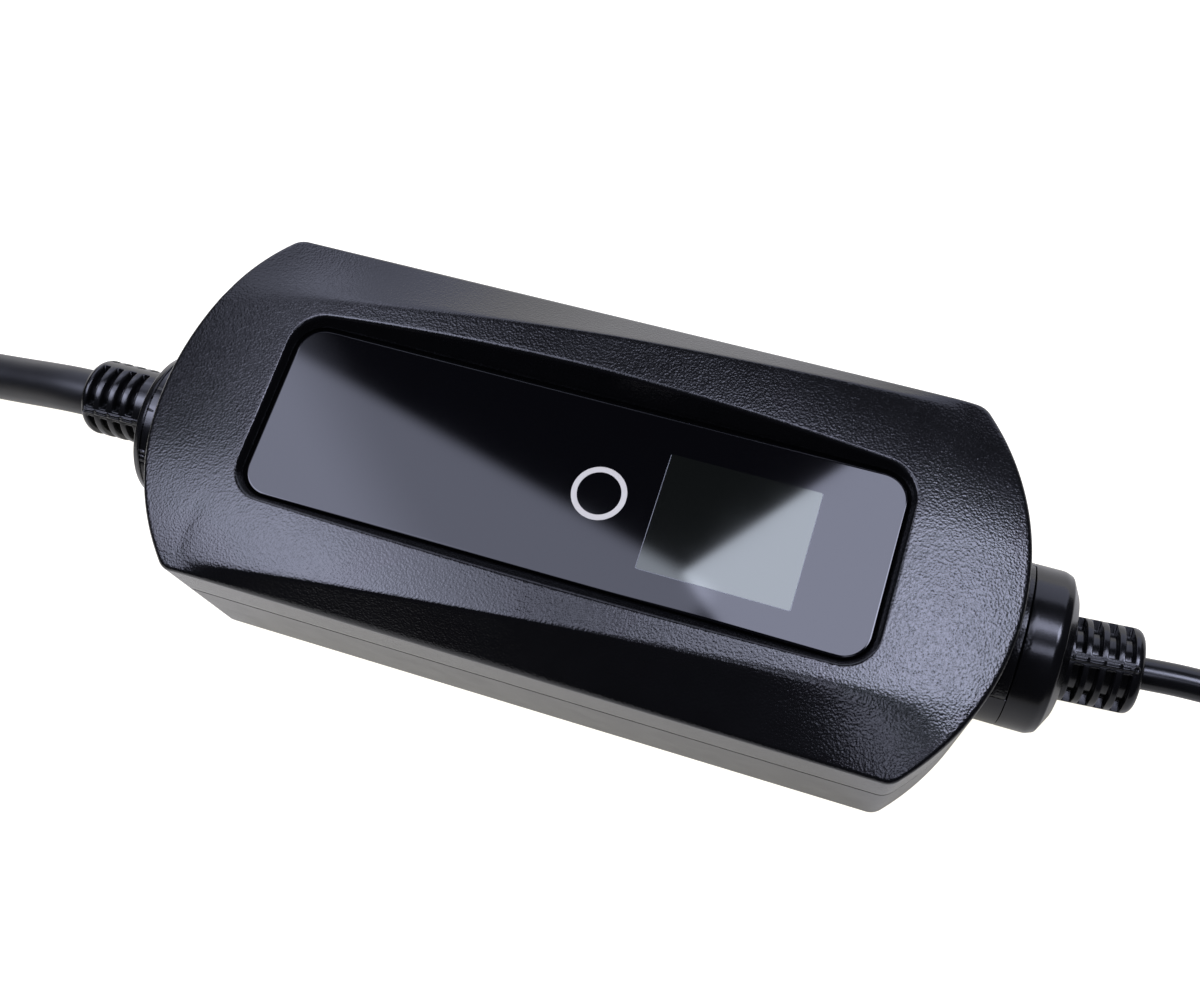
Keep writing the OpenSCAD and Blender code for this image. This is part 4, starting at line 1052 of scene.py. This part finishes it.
class CHARGER_OT_connector(bpy.types.Operator):
    bl_idname = "charger.connector"
    bl_label = "Car connector"

    def execute(self, context):
        """Builds the visible pieces round the CAD nose and contacts."""
        sizes, colours = context.scene.charger_sizes, context.scene.charger_colours
        # Glass-filled nylon, moulded: dull black with a coarse spark-eroded grain
        nylon = moulded("moulded_nylon_coarse_grain", colours.grip, 0.45, 0.6, 0.04)
        # Soft elastomer: dull, slightly dusty
        elastomer = moulded("moulded_elastomer", shade(colours.relief, 1.2)[:3], 0.55, 0.4, 0.015)
        grip = piece_from("connector_grip", [grip_shape()], nylon, "connector_plastic",
                          "connector_left", "connector_right")
        rows = [(0, 7.2), (0.4, 8.2), (1, 8.7)]
        for i in range(5):
            low = 3 + 6 * i
            r = 9 + 5 * low / 36
            rows += [(low - 0.5, r), (low - 0.1, r - 0.15), (low + 0.2, r - 0.8), (low + 0.5, r - 1.1)]
            rows += [(low + 1.9, r - 1.0), (low + 2.2, r - 0.6), (low + 2.5, r + 0.15)]
            rows += [(low + 2.9, r + 0.4)]
        rows += [(34, 13.7), (36.5, 14), (38, 12), (46, 12)]
        shape = lathe(rows, lambda x, y, z: on_connector(x, y, z + 16), 96)
        boot = piece_from("connector_sleeve", [shape], elastomer, "relief_rubber", "connector_boot")

        def knurl(x, r, a):
            """Sinks the finger grooves into the cap's outside."""
            if r < CAP_R - 1.4 or not 176 < x < 204:
                return r
            return r - 0.7 * pulse(math.sin(CAP_GROOVES * a), 0.2, 2, 0.8) * pulse(x, 179, 203, 3)

        # Inside of the cup from its floor to its open rim, then the outside back to the dished end
        rows = [(208, 4), (208, 24), (207.5, 26.8), (206, 27.4), (168, 27.5), (168, 28.9), (168.5, CAP_R)]
        rows += [(x, CAP_R) for x in [172, 174, 176, 177.5] + list(range(178, 205))]
        for i in range(7):
            a = math.pi / 2 * i / 6
            rows.append((206.4 + 4 * math.sin(a), CAP_R - 4 + 4 * math.cos(a)))
        rows += [(210.4, 22), (209.9, 20.5)]
        shape = lathe(rows, lambda x, y, z: on_connector(x, y, z + 30), 216, knurl)
        cap = piece_from("connector_dust_cap", [shape], elastomer, "cap_rubber", "connector_cap")
        on_cable = [grip, boot, cap, bpy.data.objects["car_strap_bands"]]
        on_cable += [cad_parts[name] for name in (
            "connector_nose", "connector_contacts", "connector_cores", "connector_screws")]
        return {"FINISHED"}


class CHARGER_OT_plug(bpy.types.Operator):
    bl_idname = "charger.plug"
    bl_label = "Mains plug"

    def execute(self, context):
        """Turns the body, with its side notches, round the CAD pins."""
        sizes, colours = context.scene.charger_sizes, context.scene.charger_colours
        # Soft vinyl moulded over the cord: satin, smoother than the connector
        vinyl = moulded("overmoulded_vinyl", colours.grip, 0.4, 0.5, 0.015)

        def notch(x, r, a):
            """Sinks a flat hollow for the fingers into each side of the body."""
            if x < 43.5 or r < 12:
                return r
            flat = 16 / max(abs(math.cos(a)), 0.2)
            share = pulse(r * math.sin(a), -6, 6, 0.6) * ease((x - 43.5) / 0.8)
            return r + (min(r, flat) - r) * share

        rows = [(0, 4.2), (0, 5.9), (0.6, 6.5)]
        for i in range(4):
            low = 3 + 4.4 * i
            r = 6.5 + 1.5 * low / 20
            rows += [(low, r), (low + 0.3, r - 0.3), (low + 0.6, r - 0.9), (low + 1.6, r - 0.9)]
            rows += [(low + 1.9, r - 0.2), (low + 2.2, r + 0.1)]
        rows += [(20, 8), (22, 8.4), (24.5, 9.1), (27, 10.1), (30, 12.2), (33, 14.3), (36, 16.2)]
        rows += [(38, 17.7), (39.2, 18.6)]
        rows += [(x, 19) for x in (40.5, 42, 43.5, 43.8, 44.1, 44.5, 48, 54, 55.8)]
        rows += [(56.4, 18.8), (56.8, 18.4), (57, 17.8), (57, 10)]
        end_x, end_y, end_z = PLUG_SPOT
        shape = lathe(rows, lambda x, y, z: (end_x - x, end_y - y, end_z + z), 240, notch)
        body = piece_from("plug_shell", [shape], vinyl, "plug_plastic", "plug_body")
        return {"FINISHED"}


class CHARGER_OT_inside(bpy.types.Operator):
    """Finishes the CAD parts that keep their shape: the inside of the case and all small metal."""

    bl_idname = "charger.inside"
    bl_label = "Inside"

    def execute(self, context):
        """Gives each kind of part its material."""
        # Silicone cord: dull grey
        dress(moulded("silicone_seal", linear("#3a3a3c"), 0.6, 0.5, 0.01), "case_seal")
        # Closed-cell foam: fully matt, with open pores at its cut faces
        dress(moulded("cut_foam", linear("#232325"), 0.9, 0.4, 0.08), "panel_tape", "screen_cushion")
        # Conductive rubber pillar: dull dark grey
        dress(moulded("conductive_rubber", linear("#2c2c2e"), 0.7, 0.4, 0.01), "touch_pillar")
        # Glass-fibre laminate under green solder mask: glossy, with the weave just showing
        dress(moulded("green_mask_laminate", linear("#0f4a2c"), 0.3, 0.6, 0.02, tone=0.2),
              "control_board", "power_board")
        # Polyester ribbon: smooth and pale
        dress(moulded("polyester_ribbon", linear("#c9c4b4"), 0.35, 1.0, 0.004, tone=0.08), "board_ribbon")
        # Sealed housings of relays, sensor, converter and screen: smooth moulded black
        dress(moulded("moulded_component_case", linear("#17171a"), 0.32, 0.4, 0.008),
              "relays", "fault_sensor", "supply_converter", "screen_module")
        # Shrunk vinyl sleeve: dark blue, a little glossy
        dress(moulded("shrunk_vinyl_sleeve", linear("#1a2440"), 0.28, 1.2, 0.006), "filter_capacitors")
        # Polyamide terminal blocks: light green-grey, half matt
        dress(moulded("polyamide_block", linear("#6f7f72"), 0.45, 0.4, 0.01),
              "supply_terminals", "vehicle_terminals")
        # Coloured vinyl on the copper cores: smooth and waxy
        dress(moulded("vinyl_insulation", linear("#7a4a3a"), 0.38, 0.5, 0.006),
              "supply_cores", "vehicle_cores", "connector_cores")
        # Unfilled nylon: clamps and the connector's nose
        dress(moulded("moulded_nylon_smooth", linear("#141416"), 0.4, 0.5, 0.015),
              "supply_clamp", "vehicle_clamp", "connector_nose")
        # Zinc-plated steel: bright grey, clouded by the plating
        dress(metal("zinc_plated_steel", "#a5a9ad", 0.32, 0.4),
              "control_screws", "power_screws", "clamp_screws", "case_screws", "connector_screws")
        # Nickel-plated brass: smoother and paler, almost a mirror
        dress(metal("nickel_plated_brass", "#c9ccd0", 0.2, 0.6),
              "plug_pins", "plug_earth", "connector_contacts")
        return {"FINISHED"}


class CHARGER_PT_sidebar(bpy.types.Panel):
    """Lists the steps that build the charger, with its sizes and colours."""

    bl_idname = "CHARGER_PT_sidebar"
    bl_label = "Portable charger"
    bl_space_type = "VIEW_3D"
    bl_region_type = "UI"
    bl_category = "Charger"

    def draw(self, context):
        """Draws the sizes, the colours and a button for each step."""
        for group in (context.scene.charger_sizes, context.scene.charger_colours):
            column = self.layout.column(align=True)
            for key in group.__annotations__:
                column.prop(group, key)
        column = self.layout.column(align=True)
        for step in STEPS:
            column.operator(step.bl_idname)


STEPS = (
    CHARGER_OT_stage,
    CHARGER_OT_cords,
    CHARGER_OT_cover,
    CHARGER_OT_base,
    CHARGER_OT_glass,
    CHARGER_OT_reliefs,
    CHARGER_OT_straps,
    CHARGER_OT_connector,
    CHARGER_OT_plug,
    CHARGER_OT_inside,
)
CLASSES = (ChargerSizes, ChargerColours) + STEPS + (CHARGER_PT_sidebar,)


def register():
    """Makes the classes known and gives the scene its sizes and colours."""
    for kind in CLASSES:
        bpy.utils.register_class(kind)
    bpy.types.Scene.charger_sizes = PointerProperty(type=ChargerSizes)
    bpy.types.Scene.charger_colours = PointerProperty(type=ChargerColours)


def unregister():
    """Takes the sizes, the colours and the classes out again."""
    del bpy.types.Scene.charger_colours
    del bpy.types.Scene.charger_sizes
    for kind in reversed(CLASSES):
        bpy.utils.unregister_class(kind)


def main():
    """Builds the charger step by step."""
    register()
    for step in STEPS:
        group, name = step.bl_idname.split(".")
        getattr(getattr(bpy.ops, group), name)()


if __name__ == "__main__":
    main()
